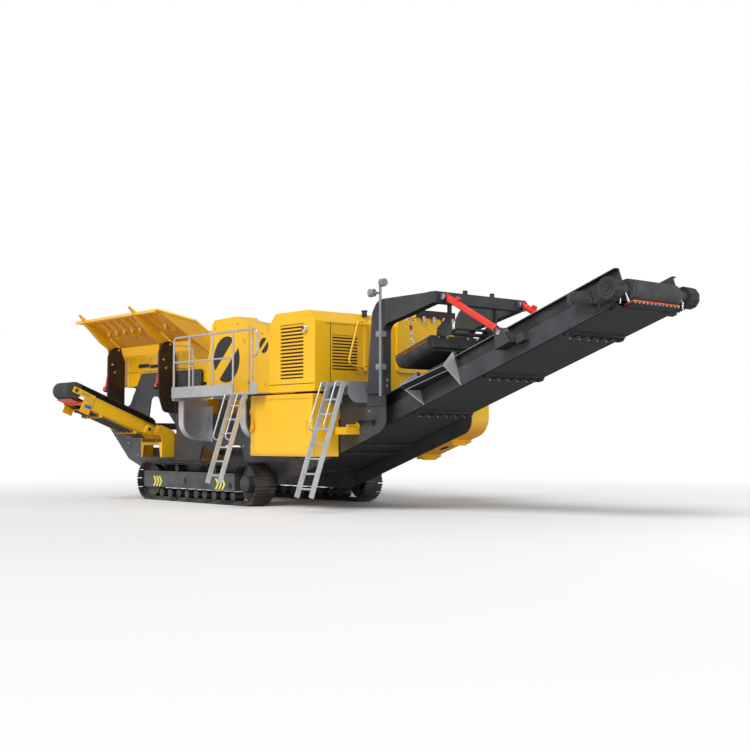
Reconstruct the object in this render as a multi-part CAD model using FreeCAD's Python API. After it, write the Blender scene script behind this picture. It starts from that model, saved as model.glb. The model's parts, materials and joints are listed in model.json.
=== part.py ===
import FreeCAD, Part
import math
import os
from FreeCAD import Vector

# Tracked mobile jaw crusher. Millimetres, +X towards the main conveyor's head, +Z up, right side = -Y.
# Built on its own centreline with the ground at z = 0, then moved so that its box stands on the origin.

# --- crawler tracks ---
trackGauge = 2480.0        # between the centrelines of the two tracks
trackWidth = 420.0
trackHeight = 760.0
trackBand = 70.0           # chain link plus shoe
idlerX = -1760.0
sprocketX = 1620.0
wheelGap = 0.3
wheelRadius = trackHeight / 2.0 - trackBand - wheelGap
hubRadius = 150.0
beamBottom = 250.0
beamTop = 560.0
beamRear = -1400.0
beamFront = 1230.0
coverRear = -1950.0
bottomRollers = 9
bottomRollerRadius = 78.0
carrierRollerRadius = 62.0

# --- chassis ---
plateOuter = 970.0         # outer face of each side plate
plateThick = 25.0
groundClearance = 240.0
bellyX = 1620.0
inclineSlope = math.tan(math.radians(18.7))
pillarFront = 4840.0
pillarRear = 4440.0
deckLevel = 1960.0         # top of the house base
crossTube = 140.0

# --- main conveyor, in its own straight frame: u along it, v square to it ---
conveyorAngle = 18.6
conveyorStart = Vector(2000.0, 0.0, 547.0)
conveyorHeight = 470.0     # side plate, lower edge to top flange
lowerBand = 275.0
frameHalf = 680.0
skirtHalf = 610.0
frameSheet = 12.0
headDrumU = 7676.0
drumV = 172.0
drumRadius = 147.0
beltThick = 12.0
beltWidth = 1000.0
tailDrumU = 0.0
liftRange = 8.0            # degrees the conveyor can be lowered
crossMemberPitch = 1635.0
firstCrossMember = 3340.0

# --- lift cylinders ---
liftTopX = 6100.0
liftTopZ = 3330.0
liftSide = 850.0
liftEyeU = 5665.0
liftEyeV = 375.0
barrelRadius = 52.0
rodRadius = 28.0
liftBarrel = 1190.0
pinRadius = 22.0

# --- gantry ---
armTop = 3400.0
armTipX = 6030.0
armOuter = 1010.0
armThick = 160.0
beamTipZ = 3240.0

# --- side conveyor, in its own straight frame: u along it (outwards), v square to it ---
sideAngle = 22.0
sidePivot = Vector(-1930.0, -1300.0, 1390.0)
sideWidth = 700.0
sideBelt = 600.0
sideDepth = 250.0
sideDrumU = 1900.0
sideDrumV = -10.0
sideDrumRadius = 150.0
sideBeltThick = 10.0

# --- hopper ---
rimZ = 3650.0
rimSide = 1800.0
wallFootSide = 1060.0
wallFootZ = 3100.0
wallRear = -3740.0
wallFront = -850.0
wallSheet = 12.0
hopperRear = -4020.0
hopperFootRear = -3800.0
hingeSide = 1120.0
hingeZ = 3050.0
armX = (-3675.0, -1600.0)
wallArmWidth = 110.0
postOffset = 110.0         # hinge post beside its arm
postThick = 50.0
postFoot = (1480.0, 1700.0)
postBlockTop = (1740.0, 2480.0)
cylinderOffset = 12.0      # wall cylinder from its arm's middle
lugGap = 6.0               # each side of a cylinder's eye or barrel in its lugs
hubPin = 24.0
leverThick = 30.0
leverSide = 75.0
leverDrop = 153.0
wallPinSide = 1330.0
wallPinZ = 2240.0
wallBarrelRadius = 42.0
wallRodRadius = 22.0
wallBarrel = 430.0

# --- feeder ---
feederHalf = 900.0
feederTop = 2930.0
feederFloor = 2340.0
feederRear = -3780.0
feederFront = -220.0
feederSheet = 16.0

# --- crusher ---
crusherHalf = 640.0
crusherRear = -150.0
crusherFront = 1500.0
crusherBottom = 1150.0
crusherTop = 3050.0
crusherPlate = 50.0
shaftX = 870.0
shaftZ = 2560.0
shaftRadius = 90.0
guardOuter = 1150.0
guardInner = 700.0
guardSheet = 30.0

# --- power house ---
houseRear = 2430.0
houseFront = 3700.0
houseRight = -1500.0
houseLeft = 1650.0
houseTop = 3300.0
houseChamfer = 185.0
houseWall = 50.0

# --- service box ---
boxRear = 1920.0
boxFront = 3700.0
boxOuter = 1500.0
boxInner = 1000.0
boxBottom = 890.0
boxTop = 1920.0
doorThick = 40.0
doorGap = 5.0
doorHinge = 14.0
hingePin = 6.0
hingeHeights = (1010.0, 1370.0, 1730.0)

# --- walkway ---
walkOuter = 1750.0
walkRear = -350.0
walkFront = 2420.0
walkTop = 1980.0
toeBottom = 1940.0
toeTop = 2140.0
railTop = 3060.0
railMid = 2600.0
railRadius = 20.0
rungPitch = 250.0
stringer = 80.0
landingOuter = 1360.0
landingFront = 4400.0

# --- light mast ---
mastX = 4880.0
mastSide = 1110.0
mastRadius = 22.0
mastTop = 3700.0
lampRadius = 62.0

# --- magnet ---
magnetPlace = (5380.0, -100.0, 2415.0)
hangerSide = 500.0
hangerThick = 24.0

running = 0.5              # radial gap between a shaft and its bore
seat = 0.3                 # gap between a loose piece and its seat


def box(x0, x1, y0, y1, z0, z1):
    return Part.makeBox(x1 - x0, y1 - y0, z1 - z0, Vector(x0, y0, z0))


def cyl(start, end, radius):
    a = Vector(*start)
    b = Vector(*end)
    return Part.makeCylinder(radius, (b - a).Length, a, b - a)


def tube(start, end, radius, bore):
    return cyl(start, end, radius).cut(cyl(start, end, bore))


def both(shape):
    return [shape, shape.mirror(Vector(0, 0, 0), Vector(0, 1, 0))]


def mirrored(shape):
    return shape.mirror(Vector(0, 0, 0), Vector(0, 1, 0))


def fuse(shapes):
    first = shapes[0]
    if len(shapes) == 1:
        return first
    return first.fuse(shapes[1:]).removeSplitter()


def place(plane, u, v, w):
    if plane == "XZ":
        return Vector(u, w, v)
    if plane == "YZ":
        return Vector(w, u, v)
    return Vector(u, v, w)


def roundedWire(plane, points, w):
    """Closed outline of (u, v) or (u, v, radius) corners at height w."""
    count = len(points)
    starts = []
    edges = []
    for i in range(count):
        here = Vector(points[i][0], points[i][1], 0)
        radius = points[i][2] if len(points[i]) > 2 else 0.0
        back = Vector(points[i - 1][0], points[i - 1][1], 0) - here
        ahead = Vector(points[(i + 1) % count][0], points[(i + 1) % count][1], 0) - here
        back.normalize()
        ahead.normalize()
        if radius <= 0:
            starts.append((here, here, None))
            continue
        half = back.getAngle(ahead) / 2.0
        run = radius / math.tan(half)
        bisector = back + ahead
        bisector.normalize()
        centre = here + bisector * (radius / math.sin(half))
        middle = centre - bisector * radius
        starts.append((here + back * run, here + ahead * run, middle))
    for i in range(count):
        a, b, middle = starts[i]
        if middle is not None:
            arc = [place(plane, p.x, p.y, w) for p in (a, middle, b)]
            edges.append(Part.Arc(*arc).toShape())
        following = starts[(i + 1) % count][0]
        if (following - b).Length > 1e-6:
            edges.append(Part.LineSegment(place(plane, b.x, b.y, w),
                                          place(plane, following.x, following.y, w)).toShape())
    return Part.Wire(edges)


def slab(plane, points, w0, w1, holes=()):
    """Outline extruded from w0 to w1; holes are outlines or (u, v, radius) circles."""
    body = Part.Face(roundedWire(plane, points, w0)).extrude(place(plane, 0, 0, w1 - w0))
    for hole in holes:
        if isinstance(hole[0], (int, float)):
            start = place(plane, hole[0], hole[1], w0 - 1)
            cutter = Part.makeCylinder(hole[2], abs(w1 - w0) + 2, start if w1 > w0
                                       else place(plane, hole[0], hole[1], w1 - 1),
                                       place(plane, 0, 0, 1))
        else:
            low = min(w0, w1) - 1
            high = max(w0, w1) + 1
            cutter = Part.Face(roundedWire(plane, hole, low)).extrude(place(plane, 0, 0, high - low))
        body = body.cut(cutter)
    return body


def sheet(points, thick):
    """Flat plate through a planar 3-D outline, centred on it."""
    corners = [Vector(*p) for p in points]
    normal = (corners[1] - corners[0]).cross(corners[2] - corners[0])
    normal.normalize()
    shifted = [c - normal * (thick / 2.0) for c in corners]
    face = Part.Face(Part.makePolygon(shifted + [shifted[0]]))
    return face.extrude(normal * thick)


def bentBar(points, radius, bend):
    """Round bar along straight runs joined by tangent arcs."""
    path = [Vector(*p) for p in points]
    edges = []
    last = path[0]
    for i in range(1, len(path) - 1):
        back = path[i - 1] - path[i]
        ahead = path[i + 1] - path[i]
        back.normalize()
        ahead.normalize()
        half = back.getAngle(ahead) / 2.0
        run = bend / math.tan(half)
        bisector = back + ahead
        bisector.normalize()
        a = path[i] + back * run
        b = path[i] + ahead * run
        middle = path[i] + bisector * (bend / math.sin(half) - bend)
        edges.append(Part.LineSegment(last, a).toShape())
        edges.append(Part.Arc(a, middle, b).toShape())
        last = b
    edges.append(Part.LineSegment(last, path[-1]).toShape())
    wire = Part.Wire(edges)
    profile = Part.Wire(Part.Circle(path[0], path[1] - path[0], radius).toShape())
    return wire.makePipeShell([profile], True, False)


def stadium(x0, x1, z, radius, y0, y1):
    """Loop body round two wheels of one size."""
    middle = box(x0, x1, y0, y1, z - radius, z + radius)
    return fuse([middle, cyl((x0, y0, z), (x0, y1, z), radius), cyl((x1, y0, z), (x1, y1, z), radius)])


def loopBelt(x0, x1, z, radius, thick, y0, y1):
    return stadium(x0, x1, z, radius + thick, y0, y1).cut(stadium(x0, x1, z, radius, y0 - 1, y1 + 1))


def inclined(shape):
    """Main conveyor frame (u, Y, v) to machine frame."""
    turned = shape.copy()
    turned.rotate(Vector(0, 0, 0), Vector(0, 1, 0), -conveyorAngle)
    turned.translate(conveyorStart)
    return turned


def inclinedPoint(u, y, v):
    angle = math.radians(conveyorAngle)
    return Vector(conveyorStart.x + u * math.cos(angle) - v * math.sin(angle), y,
                  conveyorStart.z + u * math.sin(angle) + v * math.cos(angle))


def outward(shape):
    """Side conveyor frame (X, -u, v), drawn level at the origin, to machine frame."""
    turned = shape.copy()
    turned.rotate(Vector(0, 0, 0), Vector(1, 0, 0), -sideAngle)
    turned.translate(sidePivot)
    return turned


# ---------- crawler ----------
def trackLoop(side):
    centre = side * trackGauge / 2.0
    radius = trackHeight / 2.0
    return loopBelt(idlerX, sprocketX, radius, radius - trackBand, trackBand,
                    centre - trackWidth / 2.0, centre + trackWidth / 2.0)


def trackFrame():
    """Left track frame: box beam, cover plate, two stub axles to the chassis."""
    inner = trackGauge / 2.0 - 130.0
    outer = trackGauge / 2.0 + 120.0
    cover = outer + 30.0
    beam = box(beamRear, beamFront, inner, outer, beamBottom, beamTop)
    plate = slab("XZ", [(coverRear, beamBottom, 20), (beamFront, beamBottom), (beamFront, beamTop),
                        (coverRear, beamTop, 20)], outer, cover)
    lip = box(coverRear + 40, beamFront, cover, cover + 12, beamTop - 30, beamTop)
    stubs = [box(x - 130, x + 130, plateOuter, inner, beamBottom + 50, beamTop - 50)
             for x in (-1050.0, 850.0)]
    motor = cyl((sprocketX, inner, trackHeight / 2), (sprocketX, inner + 70, trackHeight / 2), hubRadius)
    link = box(beamFront, sprocketX, inner, inner + 60, beamBottom + 60, beamTop - 60)
    fork = box(idlerX - 60, beamRear, inner, inner + 40, beamBottom + 90, beamTop - 90)
    return fuse([beam, plate, lip, link, motor, fork] + stubs)


def trackWheels():
    """Sprocket, idler and rollers of both tracks, each a solid of its own."""
    mid = trackHeight / 2.0
    centre = trackGauge / 2.0
    out = []
    hub = cyl((sprocketX, centre - 60 + seat, mid), (sprocketX, centre + 190, mid), hubRadius)
    sprocket = cyl((sprocketX, centre - 50, mid), (sprocketX, centre + 50, mid), wheelRadius)
    out.append(fuse([hub, sprocket]))
    idler = cyl((idlerX, centre - 70, mid), (idlerX, centre + 70, mid), wheelRadius)
    axle = cyl((idlerX, centre - 90 + seat, mid), (idlerX, centre + 120 - seat, mid), 45)
    out.append(fuse([idler, axle]))
    spacing = (beamFront - 120 - (beamRear + 60)) / (bottomRollers - 1)
    bottomZ = trackBand + seat + bottomRollerRadius
    for i in range(bottomRollers):
        x = beamRear + 60 + i * spacing
        out.append(cyl((x, centre - 110, bottomZ), (x, centre + 110, bottomZ), bottomRollerRadius))
    topZ = beamTop + seat + carrierRollerRadius
    for x in (-820.0, 480.0):
        out.append(cyl((x, centre - 90, topZ), (x, centre + 90, topZ), carrierRollerRadius))
    return Part.makeCompound([s for shape in out for s in both(shape)])


# ---------- chassis ----------
def chassisOutline():
    inclineZ = groundClearance + (4700.0 - bellyX) * inclineSlope
    return [(-2840, 2530, 40), (-3290, 1910, 30), (-4250, 1480, 60), (-3330, 770, 60), (-2930, 650, 60),
            (-2300, 420, 120), (1200, groundClearance, 200), (bellyX, groundClearance, 80),
            (4840, inclineZ + 40, 260), (pillarFront, 1900), (3720, 1900), (3720, 1900 - 90),
            (1900, 1900 - 90), (1900, 1650), (-560, 1650, 90), (-560, 2530, 20)]


def chassisPlate():
    """Left side plate with its cut-outs."""
    rear = sidePivot.x - sideWidth / 2.0 - 420.0
    front = sidePivot.x + sideWidth / 2.0 + 130.0
    chute = [(rear, 1010, 120), (rear + 140, 1500, 200), (rear + 260, 2040, 120), (rear + 530, 2040, 160),
             (front, 1440, 150), (front, 1150, 130), (front - 200, 1010, 120)]
    trackDoor = [(-600, 760, 40), (-480, 1060, 120), (820, 1060, 140), (940, 760, 40)]
    ribHole = [(2480, 830, 32), (2820, 945, 32), (2795, 1018, 32), (2455, 903, 32)]
    plate = slab("XZ", chassisOutline(), plateOuter - plateThick, plateOuter, [chute, trackDoor, ribHole])
    flange = box(-2800, -600, plateOuter - plateThick - 18, plateOuter - plateThick, 2500, 2530)
    return fuse([plate, flange])


def chassisRight():
    """Right side plate, with the bosses of both conveyor hinges."""
    return mirrored(chassisPlate())


def pivotBoss():
    """Left bearing block of the main conveyor's hinge."""
    pivot = inclinedPoint(0, 0, drumV)
    y0 = plateOuter - plateThick - 110
    y1 = plateOuter - plateThick
    return tube((pivot.x, y0, pivot.z), (pivot.x, y1, pivot.z), 110, 60 + running)


def crossMembers():
    """Tubes and floors that tie the two side plates together."""
    inner = plateOuter - plateThick
    half = crossTube / 2.0
    tubes = []
    for x, z in ((-3350, 1450), (-2900, 860), (-1050, 620), (850, 560)):
        tubes.append(box(x - half, x + half, -inner, inner, z - half, z + half))
    for x in (2020, 3500):
        tubes.append(box(x - half, x + half, -inner, inner, deckLevel - crossTube, deckLevel - 15))
    floor = box(1920, pillarRear - 20, -inner, inner, deckLevel - 15, deckLevel)
    tubes.append(floor)
    ledge = [box(1920, 3720, plateOuter - plateThick, plateOuter, 1810, 1900)]
    tubes.extend(s for shape in ledge for s in both(shape))
    return fuse(tubes)


def gantry():
    """Two cranked arms with a cross beam at their tips."""
    inner = armOuter - armThick
    arm = slab("XZ", [(pillarRear, 1900), (pillarFront, 1900), (pillarFront, 2990, 160), (5330, 3090),
                      (armTipX - 60, beamTipZ, 20), (armTipX - 60, 3410), (4700, armTop, 240),
                      (4560, 3200, 200)], inner, armOuter)
    cross = box(armTipX - 160, armTipX, -armOuter, armOuter, beamTipZ, 3415)
    lugs = [box(armTipX - 100, armTipX - 40, s * 300 - 25, s * 300 + 25, 3415, 3480) for s in (-1, 1)]
    ears = []
    for y in (liftSide - 62, liftSide + 38):
        ear = slab("XZ", [(armTipX - 40, beamTipZ + 5, 5), (liftTopX + 50, beamTipZ + 35, 45),
                          (liftTopX + 50, 3385, 45), (armTipX - 40, 3410, 5)], y, y + 24)
        ears.append(ear)
    pin = cyl((liftTopX, liftSide - 62, liftTopZ), (liftTopX, liftSide + 62, liftTopZ), pinRadius)
    parts = [cross] + lugs
    for shape in [arm, pin] + ears:
        parts.extend(both(shape))
    return fuse(parts)


# ---------- main conveyor ----------
def mainFrame():
    """Side frames, underside pan, cross members, loading wings and lift brackets."""
    endU = headDrumU + 40
    lower = slab("XZ", [(-120, 0, 20), (headDrumU - 170, 0), (endU, 120), (endU, lowerBand),
                        (-120, lowerBand, 20)], frameHalf - frameSheet, frameHalf)
    shelf = box(-120, endU, skirtHalf - frameSheet, frameHalf, lowerBand - frameSheet, lowerBand)
    upper = box(-60, endU, skirtHalf - frameSheet, skirtHalf, lowerBand - frameSheet, conveyorHeight)
    flange = box(-60, endU, skirtHalf - frameSheet, skirtHalf + 70,
                 conveyorHeight - frameSheet, conveyorHeight)
    pan = box(300, headDrumU - 260, -frameHalf + 5, frameHalf - 5, 0, 6)
    shafts = tube((headDrumU, skirtHalf - frameSheet, drumV), (headDrumU, frameHalf + 60, drumV),
                  90, 45 + running)
    bore = cyl((headDrumU, 0, drumV), (headDrumU, frameHalf + 61, drumV), 45 + running)
    hinge = cyl((tailDrumU, frameHalf - 5, drumV), (tailDrumU, plateOuter - plateThick - 3, drumV), 60)
    tailBore = cyl((tailDrumU, 0, drumV), (tailDrumU, frameHalf - 8, drumV), 45 + running)
    side = fuse([lower, shelf, upper, flange, shafts, hinge]).cut(bore).cut(tailBore)
    wing = wingPlates()
    lift = liftBracket()
    parts = [pan]
    for i in range(3):
        u = firstCrossMember + i * crossMemberPitch
        parts.append(box(u - 45, u + 45, -frameHalf + 60, frameHalf - 60, -42, 0))
    for u in (700, 1700):
        parts.append(box(u - 40, u + 40, -skirtHalf, skirtHalf, conveyorHeight, conveyorHeight + 60))
    for u in (450.0, 3800.0, 6900.0):
        parts.append(box(u - 40, u + 40, -frameHalf + frameSheet / 2, frameHalf - frameSheet / 2, 150, 200))
    for shape in [side, wing, lift]:
        parts.extend(both(shape))
    return inclined(fuse(parts))


def wingPlates():
    """Flared loading shelf with its two folded gussets (left)."""
    foot = frameHalf - 4
    first = 3620.0
    last = 4490.0
    gussetTop = 550.0
    shelf = sheet([(first, foot, 250), (last, foot, 250), (last, 890, 250), (first, 1010, 250)], 10)
    lip = sheet([(first, 1008, 247), (last, 888, 247), (last, 968, 315), (first, 1088, 315)], 10)
    gussets = []
    for u, tip, edge in ((first, 1010, 1088), (last, 890, 968)):
        under = sheet([(u, foot, 5), (u, tip, 250), (u, foot, 250)], 10)
        over = sheet([(u, foot - 60, 250), (u, tip, 250), (u, edge, 315), (u, foot + 10, gussetTop),
                      (u, foot - 60, gussetTop)], 10)
        gussets.extend([under, over])
    return fuse([shelf, lip] + gussets)


def liftBracket():
    """Lug for the lift cylinder's eye (left)."""
    plates = []
    for y in (liftSide - 62, liftSide + 38):
        plates.append(slab("XZ", [(liftEyeU - 150, 180, 10), (liftEyeU + 150, 180, 10),
                                  (liftEyeU + 70, liftEyeV + 60, 60), (liftEyeU - 70, liftEyeV + 60, 60)],
                           y, y + 24))
    base = box(liftEyeU - 160, liftEyeU + 160, frameHalf - 4, liftSide + 62, 165, 185)
    valve = box(liftEyeU + 170, liftEyeU + 330, frameHalf - 4, frameHalf + 120, 130, 260)
    head = cyl((liftEyeU, liftSide + 50, liftEyeV), (liftEyeU, liftSide + 78, liftEyeV), pinRadius + 8)
    return fuse(plates + [base, valve, head])


def mainBelt():
    half = beltWidth / 2.0
    return inclined(loopBelt(tailDrumU, headDrumU, drumV, drumRadius + running, beltThick, -half, half))


def drum(u, v, radius, half, shaftHalf, shaft):
    body = cyl((u, -half, v), (u, half, v), radius)
    axle = cyl((u, -shaftHalf, v), (u, shaftHalf, v), shaft)
    return fuse([body, axle])


def mainHeadDrum():
    return inclined(drum(headDrumU, drumV, drumRadius, beltWidth / 2 + 40, frameHalf + 90, 45))


def mainTailDrum():
    return inclined(drum(tailDrumU, drumV, drumRadius, beltWidth / 2 + 40, frameHalf - 10, 45))


def gearMotors():
    """Gearbox and motor on both sides of the head."""
    angle = math.radians(conveyorAngle)
    inner = frameHalf + 60 + seat
    gear = fuse([cyl((headDrumU, inner, drumV), (headDrumU, inner + 200, drumV), 150),
                 box(headDrumU - 260, headDrumU - 60, inner + 10, inner + 190, drumV - 110, drumV + 110)])
    bore = cyl((headDrumU, inner - 1, drumV), (headDrumU, frameHalf + 100, drumV), 45 + running)
    gear = gear.cut(bore)
    reach = 470.0
    tail = (headDrumU - 240 - reach * math.cos(angle), inner + 100, drumV + reach * math.sin(angle))
    motor = cyl((headDrumU - 240, inner + 100, drumV), tail, 82)
    foot = box(headDrumU - 470, headDrumU - 400, frameHalf + seat, inner + 60, drumV - 60, drumV + 30)
    return inclined(Part.makeCompound(both(fuse([gear, motor, foot]))))


def scraper():
    """Blade under the head drum on a cross bar."""
    half = frameHalf - frameSheet - seat
    low = drumV - drumRadius - beltThick
    bar = box(headDrumU - 190, headDrumU - 110, -half, half, low - 62, low - 14)
    arms = [box(headDrumU - 190, headDrumU - 110, half - 46, half, low - 62, 30)]
    parts = [bar] + [s for shape in arms for s in both(shape)]
    blade = box(headDrumU - 110, headDrumU + 60, -520, 520, low - 44, low - 24)
    return inclined(fuse(parts + [blade]))


# ---------- lift cylinders ----------
def liftLine():
    top = Vector(liftTopX, 0, liftTopZ)
    eye = inclinedPoint(liftEyeU, 0, liftEyeV)
    run = eye - top
    length = run.Length
    run.normalize()
    return top, eye, run, length


def alongLift(reach, offset=0.0):
    top, eye, run, length = liftLine()
    return (top.x + run.x * reach, liftSide + offset, top.z + run.z * reach)


def liftBarrels():
    eye = cyl(alongLift(0, -34), alongLift(0, 34), 50)
    neck = cyl(alongLift(20), alongLift(100), 30)
    body = cyl(alongLift(80), alongLift(liftBarrel), barrelRadius)
    bore = cyl(alongLift(120), alongLift(liftBarrel + 1), rodRadius + running)
    port = box(-35, 35, -30, 30, barrelRadius - 6, barrelRadius + 45)
    top, eyePoint, run, length = liftLine()
    port.rotate(Vector(0, 0, 0), Vector(0, 1, 0), math.degrees(math.atan2(-run.z, run.x)))
    port.translate(Vector(*alongLift(260)))
    body = fuse([body, neck, eye, port]).cut(bore)
    body = body.cut(cyl(alongLift(0, -35), alongLift(0, 35), pinRadius + running))
    return Part.makeCompound(both(body))


def liftRods():
    length = liftLine()[3]
    rod = cyl(alongLift(140), alongLift(length - 40), rodRadius)
    eye = cyl(alongLift(length, -30), alongLift(length, 30), 55)
    return Part.makeCompound(both(fuse([rod, eye])))


# ---------- side conveyor ----------
def sideFrame():
    """Folding outer part: two channels, underside pan, hinge plates, drum bearings."""
    half = sideWidth / 2.0
    top = 20.0
    bottom = top - sideDepth
    endU = sideDrumU - 230
    channel = slab("YZ", [(-40, top - 30), (-endU, top, 0), (-endU, bottom), (-60, bottom + 20, 20)],
                   half - 10, half)
    flanges = [box(half - 60, half, -endU, -60, top - 10, top),
               box(half - 60, half, -endU, -60, bottom, bottom + 10)]
    headPlate = box(half - 10, half + 12, -endU - 20, -endU + 180, bottom - 120, top + 20)
    bearing = box(half - 14, half + 16, -sideDrumU - 60, -endU + 20, sideDrumV - 55, sideDrumV + 55)
    pin = cyl((half - 10, 0, 0), (half + 66, 0, 0), 30)
    ear = slab("YZ", [(-60, -sideDepth + 50, 10), (-60, top - 20, 10), (30, 40, 40), (40, -60, 40)],
               half - 10, half)
    side = fuse([channel, headPlate, bearing, ear, pin] + flanges)
    side = side.cut(cyl((0, -sideDrumU, sideDrumV), (half + 40, -sideDrumU, sideDrumV), 30 + running))
    other = side.mirror(Vector(0, 0, 0), Vector(1, 0, 0))
    pan = box(-half + 5, half - 5, -endU + 120, -100, bottom - 20, bottom - 12)
    cross = [box(-half - 10, half + 10, -u - 35, -u + 35, bottom - 62, bottom) for u in (450.0, 1250.0)]
    return outward(fuse([side, other, pan] + cross))


def sideBeltLoop():
    """Outer run of the side belt, as one thin loop."""
    half = sideBelt / 2.0
    loop = loopBelt(0, sideDrumU - 190, 0, sideDrumRadius + running, sideBeltThick, -half, half)
    loop.rotate(Vector(0, 0, 0), Vector(0, 0, 1), -90)
    loop.translate(Vector(0, -190, sideDrumV))
    return outward(loop)


def sideHeadDrum():
    half = sideBelt / 2.0 + 12
    body = cyl((-half, -sideDrumU, sideDrumV), (half, -sideDrumU, sideDrumV), sideDrumRadius)
    axle = cyl((-sideWidth / 2 - 40, -sideDrumU, sideDrumV), (sideWidth / 2 + 40, -sideDrumU, sideDrumV), 30)
    return outward(fuse([body, axle]))


def sideScraper():
    low = sideDrumV - sideDrumRadius - sideBeltThick
    blade = box(-290, 290, -sideDrumU - 10, -sideDrumU + 170, low - 30, low - 14)
    bar = box(-sideWidth / 2 + 10 + seat, sideWidth / 2 - 10 - seat, -sideDrumU + 170, -sideDrumU + 230,
              low - 45, low - 5)
    return outward(fuse([blade, bar]))


def sideTail():
    """Fixed inner part, from the hinge into the machine, with its own run of belt."""
    half = sideWidth / 2.0
    inner = 1650.0
    plates = []
    for side in (-1, 1):
        x = side * (half + 24)
        plates.append(box(min(x, x + side * 12), max(x, x + side * 12), -70, inner, -140, 50))
    pinBore = cyl((-half - 70, 0, 0), (half + 70, 0, 0), 30 + running)
    bed = box(-half - 25, half + 25, 120, inner, -140, -130)
    belt = box(-sideBelt / 2, sideBelt / 2, 190, inner, -130, -118)
    cross = box(-half - 25, half + 25, 120, 200, -155, -140)
    return outward(fuse(plates + [bed, belt, cross]).cut(pinBore))


def sideStand():
    """Portal bracket on the side plate that carries the fold hinge."""
    outer = -plateOuter - 280
    inner = -plateOuter - seat
    x0 = sidePivot.x - sideWidth / 2 - 60
    x1 = sidePivot.x + sideWidth / 2 + 60
    top = 1120.0
    foot = 820.0
    legs = []
    for a, b, c in ((x0, x0 + 130, x0 + 60), (x1, x1 - 130, x1 - 60)):
        legs.append(slab("XZ", [(a, top), (b, top), (c, foot), (a, foot)], outer, outer + 25))
    head = box(x0, x1, outer, outer + 25, top - 60, top)
    cheeks = []
    for x in (x0, x1 - 14):
        outline = [(inner, foot), (inner, 1330, 20), (sidePivot.y + 50, 1450, 60),
                   (sidePivot.y - 60, 1450, 60), (sidePivot.y - 60, 1330, 60), (outer, 1200, 60),
                   (outer, foot)]
        cheeks.append(slab("YZ", outline, x, x + 14, [(sidePivot.y, sidePivot.z, 30 + running)]))
    return fuse(legs + cheeks + [head])


# ---------- hopper ----------
def wallPoint(reach, lift=0.0):
    """(side, z) at a reach up the flared wall, lifted outward square to it."""
    run = Vector(rimSide - wallFootSide, rimZ - wallFootZ, 0)
    length = run.Length
    run.normalize()
    return (wallFootSide + run.x * reach + run.y * lift, wallFootZ + run.y * reach - run.x * lift)


def wallLength():
    return math.hypot(rimSide - wallFootSide, rimZ - wallFootZ)


def hopperWall():
    """Left folding wall: panel, rim, ribs and two cranked arms."""
    full = wallLength()
    outline = [wallPoint(0), wallPoint(full), wallPoint(full, wallSheet), wallPoint(0, wallSheet)]
    panel = slab("YZ", outline, wallRear, wallFront)
    rimOutline = [wallPoint(full - 40), wallPoint(full + 10), wallPoint(full + 10, 75),
                  wallPoint(full - 40, 75)]
    rim = slab("YZ", rimOutline, wallRear, wallFront)
    parts = [panel, rim]
    ribs = 8
    for i in range(ribs):
        x = wallRear + 180 + i * (wallFront - wallRear - 360) / (ribs - 1)
        parts.append(slab("YZ", [wallPoint(full - 250, wallSheet - 1), wallPoint(full - 40, wallSheet - 1),
                                 wallPoint(full - 40, 70)], x - 5, x + 5))
    for x in armX:
        parts.append(wallArm(x))
    wall = fuse(parts)
    for x in [arm + postOffset for arm in armX]:
        notch = slab("YZ", [wallPoint(-20, -20), wallPoint(330, -20), wallPoint(330, 40), wallPoint(-20, 40)],
                     x - postThick / 2 - 12, x + postThick / 2 + 12)
        wall = wall.cut(notch)
    return wall


def wallArm(x):
    """Cranked arm from the rim to the hinge, with its lever and hinge cheeks."""
    full = wallLength()
    half = wallArmWidth / 2
    knee = wallPoint(330, 150)
    outline = [wallPoint(full + 30, 10), wallPoint(full + 30, 90), (knee[0] + 60, knee[1] + 20, 200),
               (hingeSide + 170, hingeZ + 20, 40), (hingeSide - 20, hingeZ + 55), wallPoint(60, 8)]
    body = slab("YZ", outline, x - half, x + half)
    eyeSide = hingeSide + leverSide
    eyeZ = hingeZ - leverDrop
    leverShape = [(hingeSide + 170, hingeZ + 60, 20), (hingeSide + 160, hingeZ - 40, 60),
                  (eyeSide + 48, eyeZ - 48, 46), (eyeSide - 48, eyeZ - 48, 46),
                  (hingeSide - 50, hingeZ - 10, 40), (hingeSide - 50, hingeZ + 60, 10)]
    lever = slab("YZ", leverShape, x - half, x - half + leverThick)
    cheekShape = [(hingeSide + 170, hingeZ + 60, 20), (hingeSide + 60, hingeZ - 50, 50),
                  (hingeSide - 50, hingeZ - 50, 45), (hingeSide - 50, hingeZ + 70, 10)]
    cheek = slab("YZ", cheekShape, x + half - 8, x + half + 10)
    hubEnd = x + postOffset + postThick / 2 + 10
    hub = cyl((x + half - 8, hingeSide, hingeZ), (hubEnd, hingeSide, hingeZ), hubPin)
    head = cyl((x - half - 12, eyeSide, eyeZ), (x - half + 2, eyeSide, eyeZ), pinRadius + 6)
    fin = slab("YZ", [wallPoint(full - 10, 5), wallPoint(full + 190, 5), wallPoint(full + 200, 40),
                      wallPoint(full + 10, 80)], x - 20, x + 20)
    return fuse([body, lever, cheek, hub, head, fin])


def wallLine():
    pin = Vector(wallPinSide, wallPinZ, 0)
    eye = Vector(hingeSide + leverSide, hingeZ - leverDrop, 0)
    run = eye - pin
    length = run.Length
    run.normalize()
    return pin, run, length


def alongWall(x, reach):
    pin, run, length = wallLine()
    return (x, pin.x + run.x * reach, pin.y + run.y * reach)


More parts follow.
